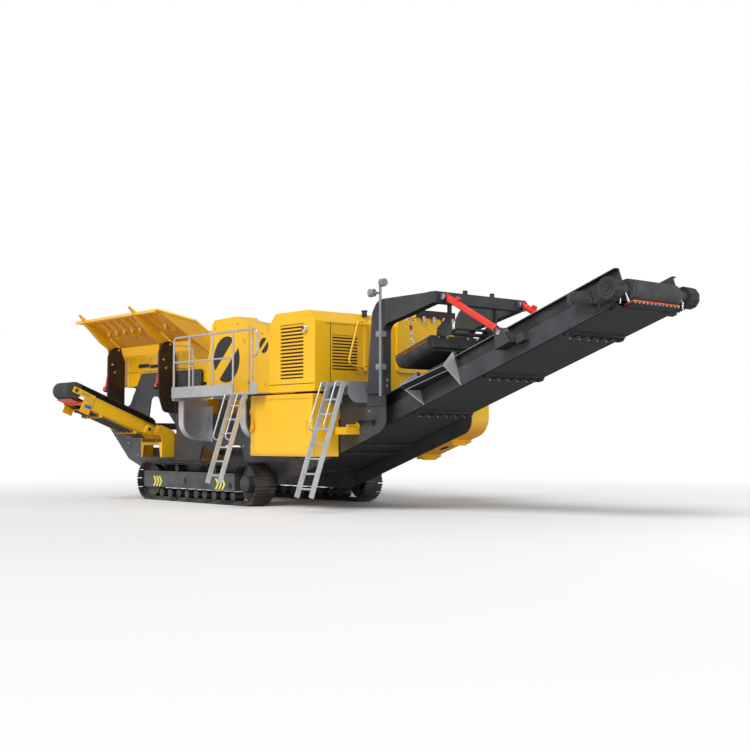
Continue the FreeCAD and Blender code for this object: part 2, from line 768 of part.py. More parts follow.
def wallBarrels():
    """Left wall's two cylinder barrels, pinned to the lugs of the posts."""
    out = []
    for arm in armX:
        x = arm + cylinderOffset
        eye = cyl(alongWall(x - wallBarrelRadius + 4, 0), alongWall(x + wallBarrelRadius - 4, 0), 48)
        body = cyl(alongWall(x, 30), alongWall(x, wallBarrel), wallBarrelRadius)
        bore = cyl(alongWall(x, 70), alongWall(x, wallBarrel + 1), wallRodRadius + running)
        pinBore = cyl(alongWall(x - 50, 0), alongWall(x + 50, 0), pinRadius + running)
        out.append(fuse([eye, body]).cut(bore).cut(pinBore))
    return Part.makeCompound(out)


def wallRods():
    """Left wall's two rods; each eye stands beside its arm's lever."""
    length = wallLine()[2]
    out = []
    for arm in armX:
        x = arm + cylinderOffset
        rod = cyl(alongWall(x, 80), alongWall(x, length - 20), wallRodRadius)
        eye = cyl(alongWall(x - 29, length), alongWall(x + 27, length), 36)
        out.append(fuse([rod, eye]))
    return Part.makeCompound(out)


def hopperPosts():
    """Hinge posts of both walls with the lugs of their cylinders."""
    parts = []
    inner = plateOuter + seat
    for arm, foot, blockTop in zip(armX, postFoot, postBlockTop):
        x0 = arm + postOffset - postThick / 2
        x1 = x0 + postThick
        outline = [(inner, foot, 20), (1240, foot, 120), (1360, 2060, 160), (1360, 2900, 60),
                   (1300, 3040, 60), (hingeSide + 70, hingeZ + 55, 40), (hingeSide - 55, hingeZ + 45, 30),
                   (1030, 2960, 40), (inner, 2800, 30)]
        plate = slab("YZ", outline, x0, x1, [(hingeSide, hingeZ, hubPin + running), (1225, 2905, 26)])
        seatBlock = box(x0 - 60, x1 + 60, inner, inner + 40, foot, blockTop)
        x = arm + cylinderOffset
        reach = wallBarrelRadius + lugGap
        lugShape = [(inner, wallPinZ - 160), (wallPinSide + 40, wallPinZ - 60, 40),
                    (wallPinSide + 40, wallPinZ + 45, 40), (wallPinSide - 80, wallPinZ + 45, 30),
                    (inner, wallPinZ + 60)]
        lugs = [slab("YZ", lugShape, x - reach - 30, x - reach),
                slab("YZ", lugShape, x + reach, x + reach + 30)]
        bridge = box(x - reach - 30, x + reach + 30, inner, inner + 40, wallPinZ - 150, wallPinZ + 50)
        pin = cyl((x - reach - 40, wallPinSide, wallPinZ), (x + reach + 30, wallPinSide, wallPinZ),
                  pinRadius)
        parts.append(fuse([plate, seatBlock, pin, bridge] + lugs))
    return Part.makeCompound([s for shape in parts for s in both(shape)])


# ---------- fixed hopper pieces and feeder ----------
def rearWall():
    """Fixed rear wall with its two corner wings and rim."""
    thick = 14.0
    lowSide = 1010.0
    lowZ = wallFootZ - 210.0
    lowX = hopperFootRear
    rimX = hopperRear
    footX = lowX + (rimX - lowX) * (wallFootZ - lowZ) / (rimZ - lowZ)
    panel = sheet([(lowX, -lowSide, lowZ), (lowX, lowSide, lowZ), (footX, wallFootSide, wallFootZ),
                   (rimX, rimSide, rimZ), (rimX, -rimSide, rimZ), (footX, -wallFootSide, wallFootZ)], thick)
    rim = box(rimX - 60, rimX + 8, -rimSide, rimSide, rimZ - 60, rimZ)
    edge = wallRear - 10
    wing = sheet([(edge, wallFootSide + 6, wallFootZ), (footX, wallFootSide + 6, wallFootZ),
                  (rimX, rimSide + 4, rimZ), (edge, rimSide + 4, rimZ)], wallSheet)
    wingRim = box(rimX - 60, edge, rimSide - 30, rimSide + 45, rimZ - 60, rimZ)
    lower = box(lowX - 10, edge, lowSide - 12, lowSide, lowZ - 40, wallFootZ)
    postFace = armX[0] + postOffset - postThick / 2 - seat
    rail = box(lowX - 10, postFace, lowSide - 12, lowSide + 20, lowZ - 60, lowZ + 50)
    out = [panel, rim]
    for shape in (wing, wingRim, lower, rail):
        out.extend(both(shape))
    for y in (-900.0, -300.0, 300.0, 900.0):
        out.append(sheet([(lowX, y, lowZ), (lowX - 130, y, lowZ + 60), (rimX - 60, y, rimZ - 30),
                          (rimX, y, rimZ - 30)], 12))
    return fuse(out)


def frontWings():
    """Fixed front corners that narrow the hopper towards the crusher's mouth."""
    edge = wallFront + 10
    rim = (edge, rimSide, rimZ)
    foot = (edge, wallFootSide, wallFootZ)
    low = (-70.0, 1010.0, 2760.0)
    mid = (-60.0, 1420.0, 3400.0)
    tip = (15.0, 1180.0, 3190.0)
    outlines = ([rim, foot, low], [rim, low, mid], [mid, low, tip])
    panels = [sheet(corners, wallSheet) for corners in outlines]
    skirt = sheet([foot, (edge, feederHalf + 8, 2760.0), low], wallSheet)
    startShare = 0.03          # keeps the bar's end off the folding wall
    start = tuple(a + (b - a) * startShare for a, b in zip(rim, mid))
    edgeBar = cyl(start, mid, 22)
    tipBar = cyl(mid, tip, 22)
    stay = box(feederFront + seat, -90, feederHalf - 10, 1030, 2640, 2770)
    return Part.makeCompound(both(fuse(panels + [skirt, edgeBar, tipBar, stay])))


def feeder():
    """Feeder trough: floor, two sides with outside ribs, back plate."""
    outer = feederHalf
    floor = box(feederRear, feederFront, -outer, outer, feederFloor - feederSheet, feederFloor)
    side = slab("XZ", [(feederRear, feederFloor - 60), (feederFront, feederFloor - 60), (feederFront, 2700),
                       (-800, feederTop), (feederRear, feederTop)], outer - feederSheet, outer)
    back = box(feederRear, feederRear + feederSheet, -outer, outer, feederFloor - 60, feederTop)
    ribs = [box(x - 8, x + 8, outer, outer + 20, feederFloor - 40, feederTop - 60)
            for x in (-3400, -3000, -2600, -2200, -1800, -1150)]
    rail = box(feederRear, -900, outer, outer + 20, 2580, 2600)
    parts = [floor, back]
    for shape in [side, rail] + ribs:
        parts.extend(both(shape))
    return fuse(parts)


def feederMounts():
    """Spring stacks between the feeder and the chassis."""
    out = []
    for x in (-3150.0, -1900.0, -760.0):
        base = box(x - 90, x + 90, 760, plateOuter - plateThick, 2080, 2100)
        seatPlate = box(x - 90, x + 90, 760, 930, feederFloor - 60 - 20 - feederSheet, feederFloor - 60)
        spring = cyl((x, 850, 2100), (x, 850, feederFloor - 60 - 20 - feederSheet), 70)
        out.append(fuse([base, seatPlate, spring]))
    return Part.makeCompound([s for shape in out for s in both(shape)])


# ---------- crusher ----------
def crusherFrame():
    """Crusher box: two side plates, the fixed-jaw wall, the toggle wall and the inlet."""
    inner = crusherHalf - crusherPlate
    side = slab("XZ", [(crusherRear, crusherBottom, 60), (crusherFront, crusherBottom, 60),
                       (crusherFront, 2900, 80), (1150, crusherTop, 80), (crusherRear, crusherTop, 40)],
                inner, crusherHalf)
    fixed = slab("XZ", [(crusherRear, crusherBottom), (crusherRear + 180, crusherBottom),
                        (crusherRear + 120, 2760), (crusherRear, 2760)], -inner, inner)
    toggle = box(crusherFront - 90, crusherFront, -inner, inner, crusherBottom, 2050)
    apron = box(crusherRear - 60, crusherRear, -inner, inner, 2300, 2760)
    feet = box(crusherRear, crusherFront, crusherHalf, plateOuter - plateThick, 1560, 1650)
    roof = box(1000, crusherFront, -inner, inner, 2880, 2940)
    parts = [fixed, toggle, apron, roof]
    for shape in (side, feet):
        parts.extend(both(shape))
    return fuse(parts)


def swingJaw():
    """Pitman with its jaw plate, on the eccentric shaft."""
    inner = crusherHalf - crusherPlate
    body = slab("XZ", [(330, 1260, 20), (520, 1230, 40), (1030, 2300, 80), (1010, 2760, 120), (740, 2800, 90),
                       (640, 2620, 30)], -inner + 12, inner - 12)
    shaft = cyl((shaftX, -guardInner - 60, shaftZ), (shaftX, guardInner + 60, shaftZ), shaftRadius)
    toggle = box(760, crusherFront - 90 - seat, -350, 350, 1560, 1620)
    return fuse([body, shaft, toggle])


def crusherFrameBored():
    reach = crusherHalf + 1
    bore = cyl((shaftX, -reach, shaftZ), (shaftX, reach, shaftZ), shaftRadius + running)
    return crusherFrame().cut(bore)


def crusherGuard():
    """Left drive guard: closed face, rim and sloped lid."""
    outline = [(-100, deckLevel), (-60, 2500, 60), (110, 3330, 60), (190, 3400, 60), (900, 3420, 60),
               (1010, 3350, 60), (1760, 3210, 60), (1950, 3020, 60), (1950, deckLevel)]
    inside = [(-65, deckLevel - 10), (-25, 2500, 40), (143, 3312, 40), (200, 3365, 40), (890, 3385, 40),
              (1000, 3318, 40), (1745, 3178, 40), (1915, 3008, 40), (1915, deckLevel - 10)]
    shell = slab("XZ", outline, guardInner, guardOuter)
    cavity = slab("XZ", inside, guardInner - 1, guardOuter - guardSheet)
    shell = shell.cut(cavity)
    lid = slab("YZ", [(guardOuter - 10, 3080), (guardOuter - 10, 3110), (crusherHalf + 10, 3300),
                      (crusherHalf + 10, 3270)], 250, 1700)
    return fuse([shell, lid])


def crusherDeck():
    """Floor under the guards, with the yellow sloped plate beside the house."""
    inner = plateOuter - plateThick
    sideFloor = box(-560, 1900, crusherHalf + 10, inner, deckLevel - 25, deckLevel)
    legs = [box(x - 40, x + 40, crusherHalf + 60, inner, 1650, deckLevel - 25)
            for x in (-400.0, 700.0, 1700.0)]
    near = 700.0
    far = 1140.0
    slope = sheet([(1965, near, 2620), (1965, far, 2620), (2415, far, deckLevel + 20),
                   (2415, near, deckLevel + 20)], 14)
    foot = box(1953, 2425, near, far, deckLevel, deckLevel + 14)
    outline = [(1955, deckLevel), (2420, deckLevel), (2420, deckLevel + 30), (1975, 2620), (1955, 2620)]
    web = slab("XZ", outline, near, near + 14)
    outer = slab("XZ", outline, far - 14, far)
    parts = []
    for shape in [fuse([sideFloor] + legs), fuse([slope, foot, web, outer])]:
        parts.extend(both(shape))
    return Part.makeCompound(parts)


# ---------- power house and boxes ----------
def powerHouse():
    """Engine house with its louvre recesses and door column."""
    mid = (houseRear + houseFront) / 2
    profile = [(houseRear, deckLevel), (houseFront, deckLevel), (houseFront, houseTop - houseChamfer, 25),
               (houseFront - 170, houseTop, 40), (houseRear + 180, houseTop, 40),
               (houseRear, houseTop - houseChamfer, 25)]
    shell = slab("XZ", profile, houseRight, houseLeft)
    inside = [(houseRear + houseWall, deckLevel + houseWall), (houseFront - houseWall, deckLevel + houseWall),
              (houseFront - houseWall, houseTop - houseChamfer - 20),
              (houseFront - 190, houseTop - houseWall), (houseRear + 200, houseTop - houseWall),
              (houseRear + houseWall, houseTop - houseChamfer - 20)]
    shell = shell.cut(slab("XZ", inside, houseRight + houseWall, houseLeft - houseWall))
    recess = box(2750, 3390, houseRight - 1, houseRight + 40, 2180, 3090)
    blades = [box(2740, 3400, houseRight + 4, houseRight + 30, 2205 + i * 60, 2235 + i * 60)
              for i in range(15)]
    frontRecess = box(houseFront - 40, houseFront + 1, -1130, -590, 2320, 2900)
    frontBlades = [box(houseFront - 30, houseFront - 4, -1140, -580, 2345 + i * 52, 2372 + i * 52)
                   for i in range(11)]
    column = box(houseFront, houseFront + 30, -460, -400, 2300, 3115)
    body = fuse([shell.cut(recess).cut(frontRecess)] + blades + frontBlades + [column])
    ledge = box(houseRear, mid, houseRight + 60, houseRight + 500, deckLevel - 16, deckLevel)
    return fuse([body, ledge])


def powerFarDoors():
    """Tall rounded panels on the house's front, left of the gantry's middle, with their top bar."""
    panel = slab("YZ", [(270, 2320, 60), (1240, 2320), (1240, 3240), (270, 3240, 120)],
                 houseFront, houseFront + 35)
    second = slab("YZ", [(1250, 2320), (1640, 2320, 60), (1640, 3240, 120), (1250, 3240)],
                  houseFront, houseFront + 35)
    bar = box(houseFront - 150, houseFront + 60, 680, 1640, houseTop, houseTop + 140)
    foot = box(houseFront, houseFront + 35, 700, 1620, 3240, houseTop)
    return Part.makeCompound([panel, second, fuse([bar, foot])])


def serviceBox():
    """Right lower box, open to the outside behind its door."""
    shell = box(boxRear, boxFront, -boxOuter, -boxInner, boxBottom, boxTop)
    cavity = box(boxRear + 25, boxFront - 25, -boxOuter - 1, -boxInner - 40, boxBottom + 25, boxTop - 25)
    shelf = box(boxRear + 25, boxFront - 25, -boxOuter + 120, -boxInner - 40, 1380, 1400)
    bracket = box(boxRear, boxFront, -boxInner, -plateOuter, 1500, 1700)
    x = boxRear + doorHinge
    y = -boxOuter - doorHinge - hingePin
    hinge = [tube((x, y, z), (x, y, z + 80), doorHinge, hingePin + running) for z in hingeHeights]
    leaf = [box(boxRear, x - hingePin - running, y, -boxOuter, z, z + 80) for z in hingeHeights]
    return fuse([shell.cut(cavity), shelf, bracket] + hinge + leaf)


def serviceDoor():
    """Door leaf that covers the box's front, on three hinge barrels."""
    x0 = boxRear + 2 * doorHinge + doorGap
    y1 = -boxOuter - doorGap
    leaf = box(x0, boxFront, y1 - doorThick, y1, boxBottom, boxTop)
    rim = box(x0 + 30, boxFront - 30, y1 - doorThick + 12, y1 + 1, boxBottom + 30, boxTop - 30)
    leaf = leaf.cut(rim)
    handle = box(boxFront - 160, boxFront - 130, y1 - doorThick - 25, y1 - doorThick + 1, 1340, 1480)
    x = boxRear + doorHinge
    y = -boxOuter - doorHinge - hingePin
    pins = []
    for z in hingeHeights:
        pins.append(cyl((x, y, z - 60), (x, y, z + 85), hingePin))
        pins.append(cyl((x, y, z - 60), (x, y, z - doorGap), doorHinge - 1))
        pins.append(box(x, x0 + 1, y - 5, y + 5, z - 60, z - doorGap))
    return fuse([leaf, handle] + pins)


def farCabinet():
    """Rounded yellow cabinet on the left side."""
    outline = [(2500, 1900, 20), (2500, 1060, 120), (3330, 1060, 60), (3400, 846, 40), (4770, 1306, 350),
               (4770, 1900, 40)]
    inside = [(2540, 1860, 20), (2540, 1100, 90), (3360, 1100, 60), (3430, 896, 20), (4730, 1332, 310),
              (4730, 1860, 20)]
    return slab("XZ", outline, plateOuter, 1450).cut(slab("XZ", inside, plateOuter + 40, 1410))


def stepBracket():
    """Small step beside the front pillar, with the flanged arm that carries it."""
    step = box(3900, 4200, -plateOuter - 260, -plateOuter, 1250, 1370)
    arm = cyl((4160, -plateOuter - 230, 1388), (4160, -plateOuter - seat, 1388), 24)
    flange = cyl((4160, -plateOuter - seat - 12, 1388), (4160, -plateOuter - seat, 1388), 55)
    return fuse([step, arm, flange])


# ---------- walkway, ladders, rails ----------
def walkwayDeck():
    floor = box(walkRear, walkFront, -walkOuter, -guardOuter - 6, walkTop - 30, walkTop)
    toe = box(walkRear, walkFront, -walkOuter, -walkOuter + 12, toeBottom, toeTop)
    rearToe = box(walkRear, walkRear + 12, -walkOuter, -guardOuter - 6, toeBottom, toeTop)
    beams = [box(x, x + 50, -walkOuter + 12, -plateOuter - 5, toeBottom - 50, walkTop - 30)
             for x in (-340.0, 1000.0, 1720.0)]
    gateway = box(1690, 2210, -walkOuter - 1, -walkOuter + 13, walkTop, toeTop + 1)
    return fuse([floor, toe, rearToe] + beams).cut(gateway)


def walkwayBrackets():
    """J-shaped plates that carry the walkway from the side plate."""
    out = []
    for x in (-330.0, 1700.0):
        top = toeBottom - 50 - seat
        outline = [(-1600, top), (-plateOuter - seat, top), (-plateOuter - seat, 1130),
                   (-1120, 1130, 30), (-1600, 1240, 330)]
        inside = [(-1572, top + 10), (-plateOuter + 20, top + 10), (-plateOuter + 20, 1158),
                  (-1125, 1158, 30), (-1572, 1260, 305)]
        plate = slab("YZ", outline, x, x + 16)
        web = slab("YZ", outline, x, x + 160).cut(slab("YZ", inside, x - 1, x + 161))
        back = box(x, x + 200, -plateOuter - 12 - seat, -plateOuter - seat, 1130, 1800)
        out.append(fuse([plate, web, back]))
    return Part.makeCompound(out)


def walkwayRails():
    """Posts, top and mid rails, gate bar and the two end hoops."""
    y = -walkOuter + 12 + railRadius + seat
    parts = []
    rear = walkRear + 12 + railRadius + seat
    for x in (220.0, 1000.0, 1650.0, 2230.0):
        parts.append(cyl((x, y, walkTop + seat), (x, y, railTop), railRadius - 2))
    parts.append(bentBar([(rear, y, walkTop + seat), (rear, y, railTop), (2385, y, railTop),
                          (2385, y, railMid), (2230, y, railMid)], railRadius, 80))
    parts.append(cyl((rear, y, railMid), (1650, y, railMid), railRadius - 4))
    endY = -guardOuter - 150
    hoop = railTop - 130
    parts.append(bentBar([(rear, y, hoop), (rear, endY, hoop), (rear, endY, walkTop + seat)],
                         railRadius - 4, 80))
    parts.append(cyl((rear, y, railMid), (rear, endY, railMid), railRadius - 6))
    return fuse(parts)


def ladder(x0, x1, topY, topZ, footY, footZ):
    """Leaning ladder: two stringers, rungs and a grab loop on each side."""
    parts = []
    run = Vector(0, footY - topY, footZ - topZ)
    length = run.Length
    run.normalize()
    normal = Vector(0, -run.z, run.y)
    for x in (x0, x1 - 30):
        low = Vector(x, footY, footZ)
        corners = [low + normal * (stringer / 2), low - normal * (stringer / 2)]
        high = Vector(x, topY, topZ)
        corners += [high - normal * (stringer / 2), high + normal * (stringer / 2)]
        face = Part.Face(Part.makePolygon(corners + [corners[0]]))
        parts.append(face.extrude(Vector(30, 0, 0)))
    steps = int(length // rungPitch)
    for i in range(1, steps + 1):
        at = Vector(0, footY, footZ) - run * (i * rungPitch - 110)
        parts.append(cyl((x0 + 10, at.y, at.z), (x1 - 10, at.y, at.z), 16))
    out = normal * (1 if normal.y < 0 else -1)
    for x in (x0 + 15, x1 - 15):
        top = Vector(x, topY, topZ)
        a = top + run * 30
        b = a + out * 150
        c = b + run * 820
        d = c - out * 150
        parts.append(bentBar([tuple(a), tuple(b), tuple(c), tuple(d)], 13, 60))
    hooks = [box(x, x + 30, topY - 10, topY + 40, topZ - 90, topZ) for x in (x0, x1 - 30)]
    return fuse(parts + hooks)


def frontLanding():
    """Small landing in front of the house, on two plates rounded at their outer foot."""
    rear = houseFront + seat
    inner = -plateOuter - seat
    floor = box(rear, landingFront, -landingOuter, -plateOuter - 5, 2075, 2100)
    toe = box(rear, landingFront, -landingOuter, -landingOuter + 10, 2030, 2100)
    plate = box(rear + 20, landingFront, -plateOuter - 17, -plateOuter - 5, 1905, 2075)
    rest = box(rear + 20, landingFront, -plateOuter - 6, -plateOuter + 10, 1905, 1925)
    outline = [(-landingOuter, 2100), (inner, 2100), (inner, 1760), (-landingOuter, 1760, 180)]
    ends = [slab("YZ", outline, x, x + 14) for x in (rear + 60, landingFront - 14)]
    return fuse([floor, toe, plate, rest] + ends)


def lightMast():
    """Pole on two clamps, with a lamp at its top and one below."""
    pole = cyl((mastX, -mastSide, 1850), (mastX, -mastSide, mastTop), mastRadius)
    clamps = [box(mastX - 90, mastX + 30, -mastSide - 20, -armOuter - seat, z, z + 90)
              for z in (2270.0, 2790.0)]
    highZ = mastTop - 60
    lowZ = mastTop - 220
    high = fuse([cyl((mastX + 20, -mastSide, highZ), (mastX + 110, -mastSide, highZ), lampRadius),
                 box(mastX, mastX + 40, -mastSide - 15, -mastSide + 15, highZ - 20, highZ + 20)])
    low = fuse([cyl((mastX - 40, -mastSide - 90, lowZ), (mastX - 130, -mastSide - 110, lowZ), lampRadius),
                box(mastX - 60, mastX + 10, -mastSide - 100, -mastSide, lowZ - 15, lowZ + 15)])
    return fuse([pole, high, low] + clamps)


# ---------- magnet ----------
def magnet():
    """Cross-belt magnet: housing with rounded belt ends, hung from the gantry."""
    body = fuse([box(-390, 390, -640, 560, 0, 250),
                 cyl((-390, -640, 125), (390, -640, 125), 125),
                 cyl((-390, 560, 125), (390, 560, 125), 125)])
    ends = [box(-430, -390, -700, 620, 40, 240), box(390, 430, -700, 620, 40, 240)]
    half = hangerSide - hangerThick / 2 - seat
    lugs = [box(350, 500, half - 40, half, 200, 330), box(350, 500, -half, -half + 40, 200, 330)]
    bar = cyl((430, -half, 290), (430, half, 290), 30)
    shape = fuse([body, bar] + ends + lugs)
    shape.rotate(Vector(0, 0, 0), Vector(0, 1, 0), -conveyorAngle)
    shape.translate(Vector(magnetPlace))
    return shape


def magnetHangers():
    """Drilled plates and bent tube between the cross beam and the magnet."""
    parts = []
    half = hangerThick / 2
    for y in (magnetPlace[1] - hangerSide, magnetPlace[1] + hangerSide):
        outline = [(5880, beamTipZ - seat), (5960, beamTipZ - seat), (5960, 2765, 30), (5755, 2765),
                   (5720, 2799), (5650, 2799, 20), (5650, 2895, 30), (5880, 3060)]
        plate = slab("XZ", outline, y - half, y + half, [(5920, z, 14) for z in (3160, 3100, 3040, 2980)])
        parts.append(plate)
    return Part.makeCompound(parts)


def partList():
    return {
        "track_loop_right": trackLoop(-1),
        "track_loop_left": trackLoop(1),
        "track_frame_right": mirrored(trackFrame()),
        "track_frame_left": trackFrame(),
        "track_wheels": trackWheels(),
        "chassis_plate_right": fuse([chassisRight(), mirrored(pivotBoss())]),
        "chassis_plate_left": fuse([chassisPlate(), pivotBoss()]),
        "chassis_cross_members": crossMembers(),
        "gantry": gantry(),
        "feeder_trough": feeder(),
        "feeder_springs": feederMounts(),
        "hopper_posts": hopperPosts(),
        "hopper_rear_wall": rearWall(),
        "hopper_front_wings": frontWings(),
        "hopper_wall_left": hopperWall(),
        "hopper_wall_right": mirrored(hopperWall()),
        "wall_barrels_left": wallBarrels(),
        "wall_barrels_right": mirrored(wallBarrels()),
        "wall_rods_left": wallRods(),
        "wall_rods_right": mirrored(wallRods()),
        "crusher_frame": crusherFrameBored(),
        "swing_jaw": swingJaw(),
        "crusher_guard_left": crusherGuard(),
        "crusher_guard_right": mirrored(crusherGuard()),
        "crusher_deck": crusherDeck(),
        "power_house": powerHouse(),
        "power_house_front_doors": powerFarDoors(),
        "service_box": serviceBox(),
        "service_box_door": serviceDoor(),
        "far_cabinet": farCabinet(),
        "step_bracket": stepBracket(),
        "walkway_deck": walkwayDeck(),
        "walkway_brackets": walkwayBrackets(),
        "walkway_rails": walkwayRails(),
        "ladder_rear": ladder(1750, 2150, -walkOuter - 40 - seat, 1950, -2300, 430),
        "ladder_front": ladder(3940, 4340, -landingOuter - 40 - seat, 2090, -2050, 260),
        "front_landing": frontLanding(),
        "light_mast": lightMast(),
        "magnet": magnet(),
        "magnet_hangers": magnetHangers(),
        "main_frame": mainFrame(),
        "main_belt": mainBelt(),
        "main_head_drum": mainHeadDrum(),
        "main_tail_drum": mainTailDrum(),
        "main_gear_motors": gearMotors(),
        "main_scraper": scraper(),
        "lift_barrels": liftBarrels(),
        "lift_rods": liftRods(),
        "side_frame": sideFrame(),
        "side_belt": sideBeltLoop(),
        "side_head_drum": sideHeadDrum(),
        "side_scraper": sideScraper(),
        "side_tail": sideTail(),
        "side_stand": sideStand(),
    }


def main():
    os.makedirs("parts", exist_ok=True)
    nodes = partList()
    whole = Part.makeCompound(list(nodes.values()))
    extent = whole.optimalBoundingBox(False, False)
    shift = Vector(-(extent.XMin + extent.XMax) / 2.0, -(extent.YMin + extent.YMax) / 2.0, -extent.ZMin)
    print("shift", tuple(round(c, 3) for c in shift))
    print("size", round(extent.XLength, 2), round(extent.YLength, 2), round(extent.ZLength, 2))
    for name, shape in nodes.items():
        moved = shape.copy()
        moved.translate(shift)
        if not moved.isValid() or not moved.Solids:
            print("CHECK", name, moved.isValid(), len(moved.Solids))
        moved.exportStep("parts/" + name + ".step")


main()
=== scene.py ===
import json
import math

import bmesh
import bpy
from mathutils import Matrix, Vector


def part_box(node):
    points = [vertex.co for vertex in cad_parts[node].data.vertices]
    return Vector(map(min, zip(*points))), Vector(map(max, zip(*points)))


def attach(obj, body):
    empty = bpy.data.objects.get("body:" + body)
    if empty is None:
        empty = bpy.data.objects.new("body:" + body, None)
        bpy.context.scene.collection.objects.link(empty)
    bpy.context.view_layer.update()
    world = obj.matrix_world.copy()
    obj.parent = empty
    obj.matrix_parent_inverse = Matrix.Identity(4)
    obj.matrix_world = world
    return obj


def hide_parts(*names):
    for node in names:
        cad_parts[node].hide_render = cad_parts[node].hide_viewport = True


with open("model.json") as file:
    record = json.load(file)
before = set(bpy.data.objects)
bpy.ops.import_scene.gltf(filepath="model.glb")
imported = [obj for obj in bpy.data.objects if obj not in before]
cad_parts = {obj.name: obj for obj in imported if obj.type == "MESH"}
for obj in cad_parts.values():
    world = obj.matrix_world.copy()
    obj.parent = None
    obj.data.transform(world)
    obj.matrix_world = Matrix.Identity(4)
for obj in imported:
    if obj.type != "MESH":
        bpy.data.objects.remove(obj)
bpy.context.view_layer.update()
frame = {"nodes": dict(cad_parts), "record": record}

# the drawing's zero in the frame: 70 mm ahead of the tracks' middle, midway between the two loops
rightTrack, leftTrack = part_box("track_loop_right"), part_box("track_loop_left")
origin = Vector((
    (rightTrack[0].x + rightTrack[1].x) / 2 + 0.070,
    (rightTrack[0].y + leftTrack[1].y) / 2,
    0.0,
))


def newGroup(name, inputs, outputs):
    group = bpy.data.node_groups.new(name, "ShaderNodeTree")
    for label, kind, value in inputs:
        socket = group.interface.new_socket(name=label, in_out="INPUT", socket_type=kind)
        socket.default_value = value
    for label, kind in outputs:
        group.interface.new_socket(name=label, in_out="OUTPUT", socket_type=kind)
    return group, group.nodes.new("NodeGroupInput"), group.nodes.new("NodeGroupOutput")


def addNode(tree, kind, **settings):
    node = tree.nodes.new(kind)
    for key, value in settings.items():
        if key in node.inputs:
            node.inputs[key].default_value = value
        else:
            setattr(node, key, value)
    return node


def mathNode(tree, operation, first, second):
    node = addNode(tree, "ShaderNodeMath", operation=operation, use_clamp=operation != "MULTIPLY")
    for socket, value in zip(node.inputs, (first, second)):
        if isinstance(value, (int, float)):
            socket.default_value = value
        else:
            tree.links.new(value, socket)
    return node.outputs[0]


def mixColour(tree, factor, first, second):
    node = addNode(tree, "ShaderNodeMix", data_type="RGBA")
    for socket, value in ((node.inputs[0], factor), (node.inputs[6], first), (node.inputs[7], second)):
        tree.links.new(value, socket)
    return node.outputs[2]


def rampOf(tree, source, low, high):
    ramp = addNode(tree, "ShaderNodeMapRange", clamp=True)
    tree.links.new(source, ramp.inputs[0])
    ramp.inputs[1].default_value = low
    ramp.inputs[2].default_value = high
    return ramp.outputs[0]


def noiseOf(tree, coords, scale, detail):
    noise = addNode(tree, "ShaderNodeTexNoise", Detail=detail)
    tree.links.new(coords, noise.inputs["Vector"])
    if isinstance(scale, (int, float)):
        noise.inputs["Scale"].default_value = scale
    else:
        tree.links.new(scale, noise.inputs["Scale"])
    return noise.outputs[0]


def makeMottle():
    group, inside, outside = newGroup(
        "mottle",
        [("Base", "NodeSocketColor", (1, 1, 1, 1)), ("Second", "NodeSocketColor", (1, 1, 1, 1)),
         ("Scale", "NodeSocketFloat", 2.0), ("Rough", "NodeSocketFloat", 0.4),
         ("Spread", "NodeSocketFloat", 0.1)],
        [("Color", "NodeSocketColor"), ("Roughness", "NodeSocketFloat"), ("Height", "NodeSocketFloat")])
    coords = addNode(group, "ShaderNodeTexCoord").outputs["Object"]
    broad = noiseOf(group, coords, inside.outputs["Scale"], 5.0)
    fine = noiseOf(group, coords, 90.0, 3.0)
    patch = rampOf(group, broad, 0.35, 0.68)
    colour = mixColour(group, patch, inside.outputs["Base"], inside.outputs["Second"])
    group.links.new(colour, outside.inputs["Color"])
    shift = mathNode(group, "MULTIPLY", fine, inside.outputs["Spread"])
    group.links.new(mathNode(group, "ADD", inside.outputs["Rough"], shift), outside.inputs["Roughness"])
    group.links.new(fine, outside.inputs["Height"])
    return group


def makeDust():
    group, inside, outside = newGroup(
        "dustLayer",
        [("Color", "NodeSocketColor", (1, 1, 1, 1)), ("Dust", "NodeSocketColor", (0.4, 0.37, 0.33, 1)),
         ("Amount", "NodeSocketFloat", 0.3), ("Roughness", "NodeSocketFloat", 0.4)],
        [("Color", "NodeSocketColor"), ("Roughness", "NodeSocketFloat")])
    coords = addNode(group, "ShaderNodeTexCoord").outputs["Object"]
    split = addNode(group, "ShaderNodeSeparateXYZ")
    group.links.new(coords, split.inputs[0])
    low = mathNode(group, "SUBTRACT", 1.0, rampOf(group, split.outputs[2], 0.0, 1.1))
    cloud = rampOf(group, noiseOf(group, coords, 3.1, 6.0), 0.38, 0.72)
    speck = rampOf(group, noiseOf(group, coords, 55.0, 2.0), 0.45, 0.75)
    lying = mathNode(group, "MULTIPLY", mathNode(group, "ADD", low, 0.25), cloud)
    mask = mathNode(group, "MULTIPLY", mathNode(group, "ADD", lying,
                                                mathNode(group, "MULTIPLY", speck, 0.12)),
                    inside.outputs["Amount"])
    group.links.new(mixColour(group, mask, inside.outputs["Color"], inside.outputs["Dust"]),
                    outside.inputs["Color"])
    group.links.new(mathNode(group, "ADD", inside.outputs["Roughness"],
                             mathNode(group, "MULTIPLY", mask, 0.35)),
                    outside.inputs["Roughness"])
    return group


